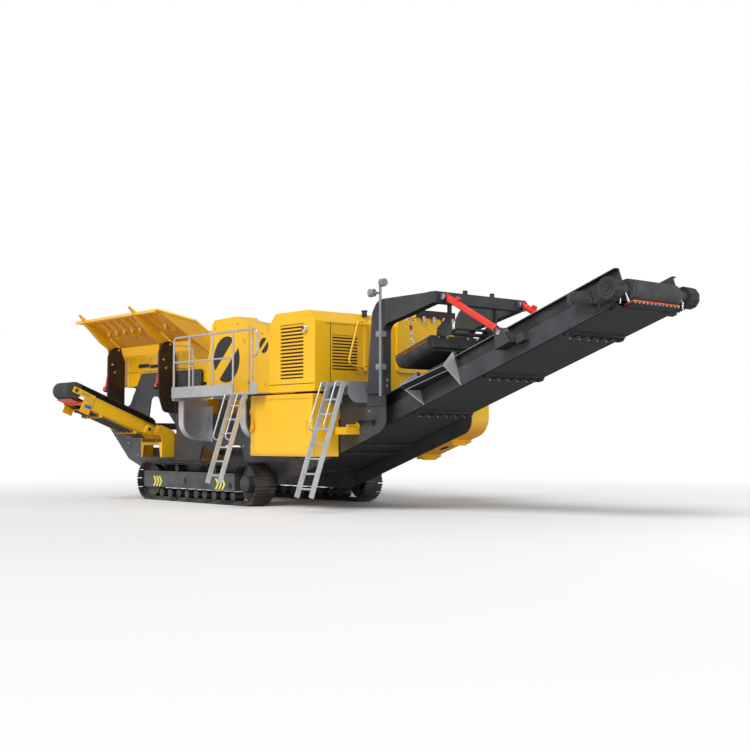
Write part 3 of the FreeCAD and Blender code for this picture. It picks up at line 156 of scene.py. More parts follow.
def makeEdgeWear():
    group, inside, outside = newGroup(
        "edgeWear",
        [("Color", "NodeSocketColor", (1, 1, 1, 1)), ("Bare", "NodeSocketColor", (0.3, 0.3, 0.3, 1)),
         ("Width", "NodeSocketFloat", 0.006), ("Amount", "NodeSocketFloat", 0.5)],
        [("Color", "NodeSocketColor"), ("Mask", "NodeSocketFloat")])
    rounded = addNode(group, "ShaderNodeBevel", samples=4)
    group.links.new(inside.outputs["Width"], rounded.inputs["Radius"])
    plain = addNode(group, "ShaderNodeNewGeometry")
    lean = addNode(group, "ShaderNodeVectorMath", operation="DOT_PRODUCT")
    group.links.new(rounded.outputs[0], lean.inputs[0])
    group.links.new(plain.outputs["Normal"], lean.inputs[1])
    edge = mathNode(group, "SUBTRACT", 1.0, rampOf(group, lean.outputs["Value"], 0.72, 0.97))
    coords = addNode(group, "ShaderNodeTexCoord").outputs["Object"]
    broken = rampOf(group, noiseOf(group, coords, 24.0, 6.0), 0.48, 0.62)
    mask = mathNode(group, "MULTIPLY", mathNode(group, "MULTIPLY", edge, broken), inside.outputs["Amount"])
    group.links.new(mixColour(group, mask, inside.outputs["Color"], inside.outputs["Bare"]),
                    outside.inputs["Color"])
    group.links.new(mask, outside.inputs["Mask"])
    return group


# Painted shade: down-facing faces are darkened toward a shade tint, standing in for the shade under the
# machine; there they are also made rougher and lose metallic and coat.
def makePaintedUndersideShade():
    group, inside, outside = newGroup(
        "undersideGrime",
        [("Color", "NodeSocketColor", (1, 1, 1, 1)), ("ShadeTint", "NodeSocketColor", (0.01, 0.01, 0.01, 1)),
         ("Amount", "NodeSocketFloat", 0.5), ("Roughness", "NodeSocketFloat", 0.4),
         ("Metallic", "NodeSocketFloat", 0.0), ("Coat", "NodeSocketFloat", 0.0)],
        [("Color", "NodeSocketColor"), ("Roughness", "NodeSocketFloat"), ("Metallic", "NodeSocketFloat"),
         ("Coat", "NodeSocketFloat")])
    surface = addNode(group, "ShaderNodeNewGeometry")
    split = addNode(group, "ShaderNodeSeparateXYZ")
    group.links.new(surface.outputs["Normal"], split.inputs[0])
    # painted shade mask: full on faces that point downward, none on level and upward faces
    facing = mathNode(group, "SUBTRACT", 1.0, rampOf(group, split.outputs[2], -0.75, -0.15))
    mask = mathNode(group, "MULTIPLY", facing, inside.outputs["Amount"])
    group.links.new(mixColour(group, mask, inside.outputs["Color"], inside.outputs["ShadeTint"]),
                    outside.inputs["Color"])
    group.links.new(mathNode(group, "ADD", inside.outputs["Roughness"],
                             mathNode(group, "MULTIPLY", mask, 0.55)),
                    outside.inputs["Roughness"])
    keep = mathNode(group, "SUBTRACT", 1.0, mask)
    for name in ("Metallic", "Coat"):
        group.links.new(mathNode(group, "MULTIPLY", inside.outputs[name], keep), outside.inputs[name])
    return group


mottle, dustLayer, edgeWear, underside = makeMottle(), makeDust(), makeEdgeWear(), makePaintedUndersideShade()
print("groups ready")


# paintedShadeTint and under are painted shade on down-facing faces: the colour they are darkened toward and
# how far (orange-tinted on the yellow paint).
plainLook = dict(spread=0.15, metal=0.0, coat=0.0, bump=0.05, wear=0.0, round=0.003,
                 paintedShadeTint=(0.02, 0.02, 0.02), under=0.3)
finishes = {
    "yellowPaint": dict(plainLook, base=(0.930, 0.530, 0.003), second=(0.890, 0.480, 0.003), scale=1.3,
        rough=0.26, spread=0.08, coat=0.35, bump=0.02, dust=0.07, wear=0.12, round=0.008,
        paintedShadeTint=(0.60, 0.20, 0.002), under=0.75),
    "greyPaint": dict(plainLook, base=(0.066, 0.069, 0.075), second=(0.050, 0.052, 0.058), scale=1.7,
        rough=0.34, spread=0.12, metal=0.25, coat=0.2, bump=0.03, dust=0.20, wear=0.35, round=0.008,
        paintedShadeTint=(0.003, 0.004, 0.006), under=0.98, specular=0.2),
    "blackPaint": dict(plainLook, base=(0.012, 0.013, 0.015), second=(0.018, 0.019, 0.021), scale=2.1,
        rough=0.42, spread=0.12, coat=0.1, bump=0.04, dust=0.30, wear=0.25, round=0.006,
        paintedShadeTint=(0.004, 0.005, 0.007), under=0.9),
    "darkSteel": dict(plainLook, base=(0.028, 0.030, 0.034), second=(0.020, 0.021, 0.024), scale=3.0,
        rough=0.38, metal=0.5, bump=0.06, dust=0.35, wear=0.5, round=0.005, paintedShadeTint=(0.006, 0.007, 0.009),
        under=0.8),
    "trackSteel": dict(plainLook, base=(0.050, 0.051, 0.055), second=(0.030, 0.030, 0.032), scale=6.0,
        rough=0.42, spread=0.18, metal=0.65, bump=0.15, dust=0.40, wear=0.8, round=0.004),
    "beltRubber": dict(plainLook, base=(0.030, 0.031, 0.033), second=(0.020, 0.020, 0.021), scale=4.0,
        rough=0.62, spread=0.18, bump=0.12, dust=0.30),
    "aluminium": dict(plainLook, base=(0.62, 0.63, 0.65), second=(0.50, 0.51, 0.53), scale=5.0, rough=0.30,
        metal=0.55, dust=0.10),
    "redPaint": dict(plainLook, base=(0.80, 0.030, 0.010), second=(0.70, 0.022, 0.008), scale=4.0,
        rough=0.24, spread=0.08, coat=0.5, bump=0.02, dust=0.10, wear=0.1),
    "rodChrome": dict(plainLook, base=(0.86, 0.87, 0.89), second=(0.76, 0.77, 0.80), scale=9.0, rough=0.10,
        spread=0.08, metal=1.0, bump=0.01, dust=0.05, round=0.002),
    "jawSteel": dict(plainLook, base=(0.20, 0.19, 0.18), second=(0.11, 0.10, 0.095), scale=5.0, rough=0.40,
        spread=0.2, metal=0.85, bump=0.25, dust=0.25, wear=0.6, round=0.006),
    "springSteel": dict(plainLook, base=(0.16, 0.17, 0.18), second=(0.10, 0.10, 0.11), scale=7.0,
        rough=0.35, metal=0.8, dust=0.25, wear=0.3),
    "drumRubber": dict(plainLook, base=(0.045, 0.050, 0.056), second=(0.033, 0.037, 0.042), scale=5.0,
        rough=0.38, coat=0.15, dust=0.10, round=0.004),
    "scraperOrange": dict(plainLook, base=(0.83, 0.085, 0.012), second=(0.70, 0.060, 0.010), scale=5.0,
        rough=0.42, spread=0.1, coat=0.1, bump=0.03, dust=0.12),
}

finishes.update({
    "chevronPaint": dict(finishes["yellowPaint"], base=(0.90, 0.78, 0.02), second=(0.86, 0.72, 0.02),
                         wear=0.0),
    # deepBlack serves dark seams and painted shade inside holes
    "deepBlack": dict(finishes["blackPaint"], base=(0.004, 0.004, 0.005), second=(0.006, 0.006, 0.007),
                      wear=0.0, dust=0.05, rough=0.55),
    "meshBlack": dict(finishes["blackPaint"], base=(0.016, 0.017, 0.020), second=(0.024, 0.025, 0.028),
                      wear=0.0, dust=0.05, rough=0.5),
    "zincBolt": dict(finishes["rodChrome"], base=(0.70, 0.71, 0.73), second=(0.55, 0.56, 0.58), rough=0.28),
    "wornEdge": dict(finishes["greyPaint"], base=(0.66, 0.67, 0.69), second=(0.48, 0.49, 0.51), metal=0.5,
                     rough=0.3, under=0.2),
    # dark reddish finish: painted shade in the louvre slots and vent openings
    "louvreSlotShade": dict(finishes["blackPaint"], base=(0.030, 0.006, 0.002), second=(0.010, 0.003, 0.002),
                       wear=0.0, dust=0.0),
    "brushedSteel": dict(finishes["greyPaint"], base=(0.62, 0.62, 0.62), second=(0.45, 0.45, 0.45), metal=0.5,
                         rough=0.36, under=0.2),
    "galvanised": dict(finishes["greyPaint"], base=(0.30, 0.31, 0.33), second=(0.24, 0.25, 0.27), metal=0.4,
                       rough=0.4, under=0.3, wear=0.0),
    # dark post paint tinted brown: a painted reflection of the yellow panels
    "postDarkWithPaintedReflection": dict(finishes["greyPaint"], base=(0.040, 0.022, 0.010), second=(0.030, 0.018, 0.010),
                      dust=0.15),
    "wornOrange": dict(finishes["scraperOrange"], base=(0.42, 0.13, 0.03), second=(0.05, 0.045, 0.04),
                       scale=14.0),
    "bluePlastic": dict(finishes["scraperOrange"], base=(0.01, 0.15, 0.75), second=(0.01, 0.12, 0.62)),
    "lampSilver": dict(finishes["rodChrome"], base=(0.62, 0.63, 0.65), second=(0.50, 0.51, 0.53), rough=0.22),
    "lampLens": dict(finishes["rodChrome"], base=(0.80, 0.82, 0.86), second=(0.62, 0.65, 0.70), rough=0.05,
                     coat=1.0),
})

slotFinish = {
    "yellow_paint": "yellowPaint", "grey_paint": "greyPaint", "black_paint": "blackPaint",
    "belt_rubber": "beltRubber", "aluminium": "aluminium", "track_steel": "trackSteel",
    "red_paint": "redPaint", "rod_chrome": "rodChrome", "jaw_steel": "jawSteel",
    "spring_steel": "springSteel", "drum_lagging": "drumRubber", "scraper_plastic": "scraperOrange",
}


def makeFinish(name, look):
    material = bpy.data.materials.new(name)
    material.use_nodes = True
    tree = material.node_tree
    shader = tree.nodes["Principled BSDF"]
    shader.inputs["Specular IOR Level"].default_value = look.get("specular", 0.5)
    shader.inputs["Coat Roughness"].default_value = 0.12
    base = addNode(tree, "ShaderNodeGroup", node_tree=mottle)
    base.inputs["Base"].default_value = (*look["base"], 1)
    base.inputs["Second"].default_value = (*look["second"], 1)
    base.inputs["Scale"].default_value = look["scale"]
    base.inputs["Rough"].default_value = look["rough"]
    base.inputs["Spread"].default_value = look["spread"]
    colour = base.outputs["Color"]
    if look["wear"] > 0:
        worn = addNode(tree, "ShaderNodeGroup", node_tree=edgeWear)
        worn.inputs["Amount"].default_value = look["wear"]
        worn.inputs["Width"].default_value = look["round"]
        tree.links.new(colour, worn.inputs["Color"])
        colour = worn.outputs["Color"]
    dust = addNode(tree, "ShaderNodeGroup", node_tree=dustLayer)
    dust.inputs["Amount"].default_value = look["dust"]
    tree.links.new(colour, dust.inputs["Color"])
    tree.links.new(base.outputs["Roughness"], dust.inputs["Roughness"])
    # painted shade on down-facing faces, applied after the dust
    undersideShadeNode = addNode(tree, "ShaderNodeGroup", node_tree=underside)
    undersideShadeNode.inputs["ShadeTint"].default_value = (*look["paintedShadeTint"], 1)
    undersideShadeNode.inputs["Amount"].default_value = look["under"]
    tree.links.new(dust.outputs["Color"], undersideShadeNode.inputs["Color"])
    undersideShadeNode.inputs["Metallic"].default_value = look["metal"]
    undersideShadeNode.inputs["Coat"].default_value = look["coat"]
    tree.links.new(dust.outputs["Roughness"], undersideShadeNode.inputs["Roughness"])
    tree.links.new(undersideShadeNode.outputs["Color"], shader.inputs["Base Color"])
    tree.links.new(undersideShadeNode.outputs["Roughness"], shader.inputs["Roughness"])
    tree.links.new(undersideShadeNode.outputs["Metallic"], shader.inputs["Metallic"])
    tree.links.new(undersideShadeNode.outputs["Coat"], shader.inputs["Coat Weight"])
    rounded = addNode(tree, "ShaderNodeBevel", samples=4, Radius=look["round"])
    bump = addNode(tree, "ShaderNodeBump", Strength=look["bump"], Distance=0.004)
    tree.links.new(base.outputs["Height"], bump.inputs["Height"])
    tree.links.new(rounded.outputs[0], bump.inputs["Normal"])
    tree.links.new(bump.outputs[0], shader.inputs["Normal"])
    return material


finish = {name: makeFinish(name, look) for name, look in finishes.items()}

nodeFinish = {  # nodes that don't take their slot's finish
    "light_mast": "galvanised", "front_landing": "galvanised", "main_scraper": "blackPaint",
    # hopper posts: dark paint with a painted reflection of the yellow panels as a brown tint
    "hopper_posts": "postDarkWithPaintedReflection",
}
nodeSlot = {part["node"]: part["material_slot"] for part in frame["record"]["subparts"]}
for nodeName, cadObject in frame["nodes"].items():
    cadObject.data.materials.clear()
    cadObject.data.materials.append(finish[nodeFinish.get(nodeName, slotFinish[nodeSlot[nodeName]])])
print("finishes on", len(frame["nodes"]), "parts of the frame")


def addBox(bm, low, high, edge=0.0, turn=None):
    made = bmesh.ops.create_cube(bm, size=1.0)["verts"]
    bmesh.ops.scale(bm, vec=[b - a for a, b in zip(low, high)], verts=made)
    bmesh.ops.translate(bm, vec=[(a + b) / 2 for a, b in zip(low, high)], verts=made)
    if edge:
        around = list({side for corner in made for side in corner.link_edges})
        result = bmesh.ops.bevel(bm, geom=around, offset=edge, offset_type="OFFSET", segments=2,
                                 profile=0.5, affect="EDGES", material=-1)
        made = list({corner for face in result["faces"] for corner in face.verts})
    if turn:
        bmesh.ops.transform(bm, matrix=turn, verts=made)
    return made


def addRod(bm, start, end, radius, tip=None, segments=28, edge=0.0):
    start, end = Vector(start), Vector(end)
    run = end - start
    made = bmesh.ops.create_cone(bm, cap_ends=True, cap_tris=False, segments=segments, radius1=radius,
                                 radius2=radius if tip is None else tip, depth=run.length)["verts"]
    if edge:
        caps = [side for side in {e for v in made for e in v.link_edges}
                if abs(side.verts[0].co.z - side.verts[1].co.z) < 1e-6]
        result = bmesh.ops.bevel(bm, geom=caps, offset=edge, offset_type="OFFSET", segments=2,
                                 profile=0.5, affect="EDGES", material=-1)
        made = list({v for face in result["faces"] for v in face.verts} | {v for v in made if v.is_valid})
    place = Matrix.Translation((start + end) / 2) @ run.to_track_quat("Z", "Y").to_matrix().to_4x4()
    bmesh.ops.transform(bm, matrix=place, verts=made)
    return made


def addPath(bm, points, radius, segments=14):
    for a, b in zip(points, points[1:]):
        addRod(bm, a, b, radius, segments=segments)
    for knee in points[1:-1]:
        ball = bmesh.ops.create_uvsphere(bm, u_segments=segments, v_segments=8, radius=radius)["verts"]
        bmesh.ops.translate(bm, vec=knee, verts=ball)


def thicken(bm, faces, shift):
    grown = bmesh.ops.extrude_face_region(bm, geom=faces)
    raised = [item for item in grown["geom"] if isinstance(item, bmesh.types.BMVert)]
    bmesh.ops.translate(bm, vec=shift, verts=raised)


def addPlate(bm, corners, thick):
    thicken(bm, [bm.faces.new([bm.verts.new(corner) for corner in corners])], thick)


def pour(bm, part):
    scrap = bpy.data.meshes.new("scrap")
    part.to_mesh(scrap)
    bm.from_mesh(scrap)
    bpy.data.meshes.remove(scrap)
    part.free()


def addBolt(bm, place, along, size=0.014, tall=0.012):
    along = Vector(along).normalized()
    place = Vector(place)
    addRod(bm, place - along * 0.003, place + along * 0.003, size * 1.45, segments=14)
    addRod(bm, place, place + along * tall, size, tip=size * 0.94, segments=6)


def finishPiece(name, bm, look, body, smooth=35.0):
    bmesh.ops.recalc_face_normals(bm, faces=bm.faces)
    bmesh.ops.translate(bm, vec=origin, verts=bm.verts)
    mesh = bpy.data.meshes.new(name)
    bm.to_mesh(mesh)
    bm.free()
    mesh.materials.append(finish[look])
    for face in mesh.polygons:
        face.use_smooth = True
    mesh.set_sharp_from_angle(angle=math.radians(smooth))
    piece = bpy.data.objects.new(name, mesh)
    bpy.context.scene.collection.objects.link(piece)
    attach(piece, body)
    return piece


slopeAngle, slopeFoot = math.radians(18.6), (2.0, 0, 0.547)  # main conveyor, at its tail shaft
sideAngle, sidePivot = math.radians(22.0), (-1.93, -1.30, 1.39)


def slope(u, y, v):
    return Vector((slopeFoot[0] + u * math.cos(slopeAngle) - v * math.sin(slopeAngle), y,
                   slopeFoot[2] + u * math.sin(slopeAngle) + v * math.cos(slopeAngle)))


slopeTurn = Matrix.Translation(slopeFoot) @ Matrix.Rotation(-slopeAngle, 4, "Y")
sideTurn = Matrix.Translation(sidePivot) @ Matrix.Rotation(-sideAngle, 4, "X")


def shoeMesh():
    bm = bmesh.new()
    addBox(bm, (-0.080, -0.210, 0.000), (0.080, 0.210, 0.012), 0.003)
    for x in (-0.062, 0.0, 0.062):
        addBox(bm, (x - 0.008, -0.209, 0.010), (x + 0.008, 0.209, 0.034), 0.003)
    for y in (-0.085, 0.085):
        addBox(bm, (-0.088, y - 0.016, -0.036), (0.088, y + 0.016, 0.001), 0.004)
        for x in (-0.031, 0.031):
            addRod(bm, (x, y, 0.011), (x, y, 0.022), 0.011, segments=6)
    for x in (-0.0855, 0.0855):
        addRod(bm, (x, -0.112, -0.018), (x, 0.112, -0.018), 0.013, segments=10)
    mesh = bpy.data.meshes.new("shoe")
    bm.to_mesh(mesh)
    bm.free()
    return mesh


def trackShoes():
    crawler = dict(idlerX=-1.76, sprocketX=1.62, axleZ=0.38, path=0.346, curve=0.341, shoes=52, gauge=1.24)
    shoe = shoeMesh()
    run = crawler["sprocketX"] - crawler["idlerX"]
    arc = math.pi * crawler["path"]
    pitch = 2 * (run + arc) / crawler["shoes"]
    for side, label in ((-1, "right"), (1, "left")):
        bm = bmesh.new()
        for i in range(crawler["shoes"]):
            s = (i + 0.5) * pitch
            if s < run:
                spot, turn, reach = crawler["idlerX"] + s, 0.0, crawler["path"]
            elif s < run + arc:
                spot, turn, reach = crawler["sprocketX"], (s - run) / arc * math.pi, crawler["curve"]
            elif s < 2 * run + arc:
                spot, turn, reach = crawler["sprocketX"] - (s - run - arc), math.pi, crawler["path"]
            else:
                spot, reach = crawler["idlerX"], crawler["curve"]
                turn = math.pi + (s - 2 * run - arc) / arc * math.pi
            place = (Matrix.Translation((spot, side * crawler["gauge"], crawler["axleZ"]))
                     @ Matrix.Rotation(turn, 4, "Y") @ Matrix.Translation((0, 0, reach)))
            before = len(bm.verts)
            bm.from_mesh(shoe)
            bm.verts.ensure_lookup_table()
            bmesh.ops.transform(bm, matrix=place, verts=bm.verts[before:])
        piece = finishPiece("trackShoes_" + label, bm, "trackSteel", "base")
        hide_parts("track_loop_" + label)


def crawlerDetails():
    hub = dict(x=1.62, z=0.38, face=1.43, ring=0.118, bolts=12)
    for side, label in ((-1, "right"), (1, "left")):
        out = Vector((0, side, 0))
        bm = bmesh.new()
        centre = Vector((hub["x"], side * hub["face"], hub["z"]))
        addRod(bm, centre, centre + out * 0.012, 0.142, edge=0.004, segments=48)
        addRod(bm, centre, centre + out * 0.018, 0.085, edge=0.004, segments=40)
        for i in range(hub["bolts"]):
            a = 2 * math.pi * i / hub["bolts"]
            spot = centre + Vector((math.cos(a) * hub["ring"], 0, math.sin(a) * hub["ring"])) + out * 0.011
            addBolt(bm, spot, out, 0.011, 0.008)
        finishPiece("hubCover_" + label, bm, "darkSteel", "base")
        bm = bmesh.new()
        z, tip, half, wide = 0.365, 0.075, 0.100, 0.055
        for x0 in (-1.60, 0.60):
            for i in range(3):
                x = x0 + i * 0.105
                corners = [(x, z + half), (x + wide, z + half), (x + wide + tip, z), (x + wide, z - half),
                           (x, z - half), (x + tip, z)]
                addPlate(bm, [(a, side * 1.3905, b) for a, b in corners], (0, side * 0.002, 0))
        finishPiece("chevrons_" + label, bm, "chevronPaint", "base")
        # Dark disc and box on the track frame: painted shade inside its holes.
        bm = bmesh.new()
        disc = bmesh.ops.create_circle(bm, cap_ends=True, segments=32, radius=1.0)["verts"]
        bmesh.ops.scale(bm, vec=(0.050, 0.062, 1.0), verts=disc)
        bmesh.ops.rotate(bm, cent=(0, 0, 0), matrix=Matrix.Rotation(math.pi / 2, 3, "X"), verts=disc)
        bmesh.ops.translate(bm, vec=(-0.413, side * 1.3915, 0.392), verts=disc)
        thicken(bm, bm.faces[:], (0, side * 0.002, 0))
        addBox(bm, (1.05, min(side * 1.391, side * 1.394), 0.29),
               (1.15, max(side * 1.391, side * 1.394), 0.39))
        finishPiece("frameHoleShade_" + label, bm, "deepBlack", "base")


def guardDiscs():
    discs = (dict(x=0.59, z=2.645, radius=0.425, band=0.115),
             dict(x=1.775, z=2.835, radius=0.135, band=0.035))
    for side, label in ((-1, "right"), (1, "left")):
        bm = bmesh.new()
        for disc in discs:
            for half in (-1, 1):
                part = bmesh.new()
                bmesh.ops.create_circle(part, cap_ends=True, segments=64, radius=disc["radius"])
                turn = math.radians(-42)  # the band climbs towards the front
                cut = Vector((math.sin(turn) * half, math.cos(turn) * half, 0))
                bmesh.ops.bisect_plane(part, geom=part.verts[:] + part.edges[:] + part.faces[:],
                                       plane_co=cut * disc["band"], plane_no=cut, clear_inner=True)
                thicken(part, part.faces[:], (0, 0, 0.004))
                stand = Matrix.Translation((disc["x"], side * 1.150, disc["z"]))
                if side > 0:
                    stand = stand @ Matrix.Scale(-1, 4, (0, 1, 0))
                stand = stand @ Matrix.Rotation(math.pi / 2, 4, "X")
                bmesh.ops.transform(part, matrix=stand, verts=part.verts)
                pour(bm, part)
        finishPiece("guardDiscs_" + label, bm, "meshBlack", "base", smooth=20)
        bm = bmesh.new()
        for x, z in ((0.02, 2.15), (0.10, 2.75), (0.22, 3.25), (0.95, 3.28), (1.30, 2.20), (1.72, 3.05),
                     (1.82, 2.15), (1.15, 2.98), (1.19, 2.93)):
            addBolt(bm, (x, side * 1.151, z), (0, side, 0), 0.014)
        addBox(bm, (1.32, min(side * 1.145, side * 1.156), 2.0),
               (1.345, max(side * 1.145, side * 1.156), 3.24), 0.003)
        finishPiece("guardBolts_" + label, bm, "zincBolt", "base")


def houseDetails():
    bm = bmesh.new()
    addBox(bm, (2.44, -1.503, 2.085), (3.68, -1.497, 2.095))
    addBox(bm, (3.698, -1.35, 2.09), (3.703, -0.48, 2.10))
    addBox(bm, (3.698, -1.18, 2.10), (3.703, -1.17, 3.10))
    addBox(bm, (3.698, -1.30, 3.08), (3.703, -0.48, 3.086))
    finishPiece("houseSeams", bm, "deepBlack", "base")
    bm = bmesh.new()
    x = 3.765
    addPath(bm, [(3.70, -0.50, 3.15), (x, -0.53, 3.155), (x, -0.63, 3.13), (x, -0.655, 3.09),
                 (x, -0.83, 2.50),
                 (x, -0.82, 2.44), (x, -0.77, 2.40), (x, -0.53, 2.375), (3.70, -0.50, 2.375)], 0.016)
    for z in (3.17, 3.10, 2.42, 2.33):
        addBolt(bm, (3.731, -0.43, z), (1, 0, 0), 0.016)
    finishPiece("grabHandle", bm, "yellowPaint", "base")
    bm = bmesh.new()
    addRod(bm, (3.47, -1.495, 3.0), (3.47, -1.56, 3.0), 0.058, edge=0.006)
    addRod(bm, (3.47, -1.555, 3.0), (3.47, -1.575, 3.0), 0.046, tip=0.030)
    finishPiece("houseVent", bm, "rodChrome", "base")
    # Dark reddish strips, a disc and a band: painted shade in the house's louvre slots and vent openings.
    bm = bmesh.new()
    addRod(bm, (3.47, -1.576, 3.0), (3.47, -1.578, 3.0), 0.028)
    for i in range(15):
        z = 2.178 + i * 0.060
        addBox(bm, (2.752, -1.470, z), (3.388, -1.462, z + 0.028))
    for i in range(11):
        z = 2.320 + i * 0.052
        addBox(bm, (3.662, -1.128, z), (3.668, -0.592, z + 0.024))
    addBox(bm, (3.7605, 0.682, 3.302), (3.7640, 1.638, 3.438))
    finishPiece("louvreShade", bm, "louvreSlotShade", "base")
    bm = bmesh.new()
    addRod(bm, (3.60, -0.36, 3.26), (3.60, -0.36, 3.345), 0.045, edge=0.004)
    addRod(bm, (3.60, -0.36, 3.335), (3.60, -0.36, 3.36), 0.052, edge=0.004)
    finishPiece("filterCap", bm, "blackPaint", "base")
    bm = bmesh.new()
    for y in (0.86, 1.10, 1.34, 1.56):
        addBox(bm, (3.752, y - 0.03, 3.25), (3.790, y + 0.03, 3.33), 0.006)
        addRod(bm, (3.77, y, 3.19), (3.77, y, 3.26), 0.012)
        addBolt(bm, (3.790, y, 3.29), (1, 0, 0), 0.014)
    finishPiece("doorClamps", bm, "zincBolt", "base")


def boxDetails():
    bm = bmesh.new()
    addBox(bm, (1.950, -1.574, 1.860), (3.670, -1.566, 1.872), 0.003)
    addBox(bm, (1.950, -1.574, 0.925), (3.670, -1.566, 0.937), 0.003)
    for z in (1.30, 1.60):
        addBox(bm, (1.985, -1.590, z), (2.005, -1.568, z + 0.09), 0.006)
    addPlate(bm, [(2.00, -1.5705, 1.28), (2.09, -1.5705, 1.36), (2.03, -1.5705, 1.56), (2.00, -1.5705, 1.55)],
             (0, -0.004, 0))
    finishPiece("boxDoorDetails", bm, "yellowPaint", "service_door")


def conveyorDetails():
    members = (3.340, 4.975, 6.610)  # along the slope
    bm = bmesh.new()
    for side in (-1, 1):
        addBox(bm, (-0.05, min(side * 0.600, side * 0.684), 0.4705),
               (7.70, max(side * 0.600, side * 0.684), 0.4745),
               turn=slopeTurn)
    wing = dict(first=3.620, last=4.490, top=0.550)
    for side in (-1, 1):
        addRod(bm, slope(wing["first"], side * 1.010, 0.247), slope(wing["last"], side * 0.890, 0.247), 0.006)
        addRod(bm, slope(wing["first"], side * 1.088, 0.316), slope(wing["last"], side * 0.968, 0.316), 0.006)
        for u, tip, lip in ((wing["first"], 1.010, 1.088), (wing["last"], 0.890, 0.968)):
            addPath(bm, [slope(u, side * 0.684, 0.010), slope(u, side * tip, 0.250),
                         slope(u, side * lip, 0.316),
                         slope(u, side * 0.690, wing["top"])], 0.006, 8)
    finishPiece("flangeEdges", bm, "wornEdge", "main_conveyor")
    bm = bmesh.new()
    for side in (-1, 1):
        for u, tip, lip in ((wing["first"], 1.010, 1.088), (wing["last"], 0.890, 0.968)):
            for shift in (-0.0075, 0.0055):
                outline = [(0.684, 0.010), (tip, 0.250), (lip, 0.316), (0.690, wing["top"]), (0.684, 0.250)]
                addPlate(bm, [slope(u + shift, side * y, v) for y, v in outline],
                         slope(0.002, 0, 0) - slope(0, 0, 0))
    finishPiece("wingGussets", bm, "brushedSteel", "main_conveyor")
    bm = bmesh.new()
    for side in (-1, 1):
        y0, y1 = sorted((side * 0.611, side * 0.614))
        addBox(bm, (-0.05, y0, 0.28), (7.70, y1, 0.455), turn=slopeTurn)
    addBox(bm, (0.30, -0.64, -0.004), (7.40, 0.64, 0.0), turn=slopeTurn)
    finishPiece("skirtShade", bm, "blackPaint", "main_conveyor")
    bm = bmesh.new()
    for u in members:
        addBox(bm, (u - 0.060, -0.672, -0.048), (u - 0.046, 0.672, 0.0), 0.003, slopeTurn)
        for i in range(7):
            y = -0.58 + i * 1.16 / 6
            addBox(bm, (u - 0.075, y - 0.045, -0.060), (u + 0.02, y + 0.045, -0.040), 0.006, slopeTurn)
    for u in (1.25, 1.7):
        addBox(bm, (u - 0.05, -0.66, -0.040), (u + 0.05, 0.66, 0.0), 0.004, slopeTurn)
    finishPiece("bellyMembers", bm, "darkSteel", "main_conveyor")
    bm = bmesh.new()
    turn = slopeTurn.to_3x3()
    down = turn @ Vector((-0.35, 0, -1))
    for u in members:
        for i in range(6):
            y = -0.50 + i * 1.0 / 5
            addBolt(bm, slopeTurn @ Vector((u - 0.055, y, -0.056)), turn @ Vector((-1, 0, -0.5)), 0.012)
        addBolt(bm, slopeTurn @ Vector((u - 0.05, 0.655, -0.030)), down, 0.020)
    finishPiece("bellyBolts", bm, "zincBolt", "main_conveyor")
    bm = bmesh.new()
    for side in (-1, 1):
        for u, v in ((5.50, 0.21), (5.83, 0.21)):
            addBolt(bm, slopeTurn @ Vector((u, side * 0.681, v)), (0, side, 0), 0.014)
        addRod(bm, slope(5.665, side * 0.914, 0.375), slope(5.665, side * 0.935, 0.375), 0.040, edge=0.006)
    finishPiece("liftPinHeads", bm, "zincBolt", "main_conveyor")


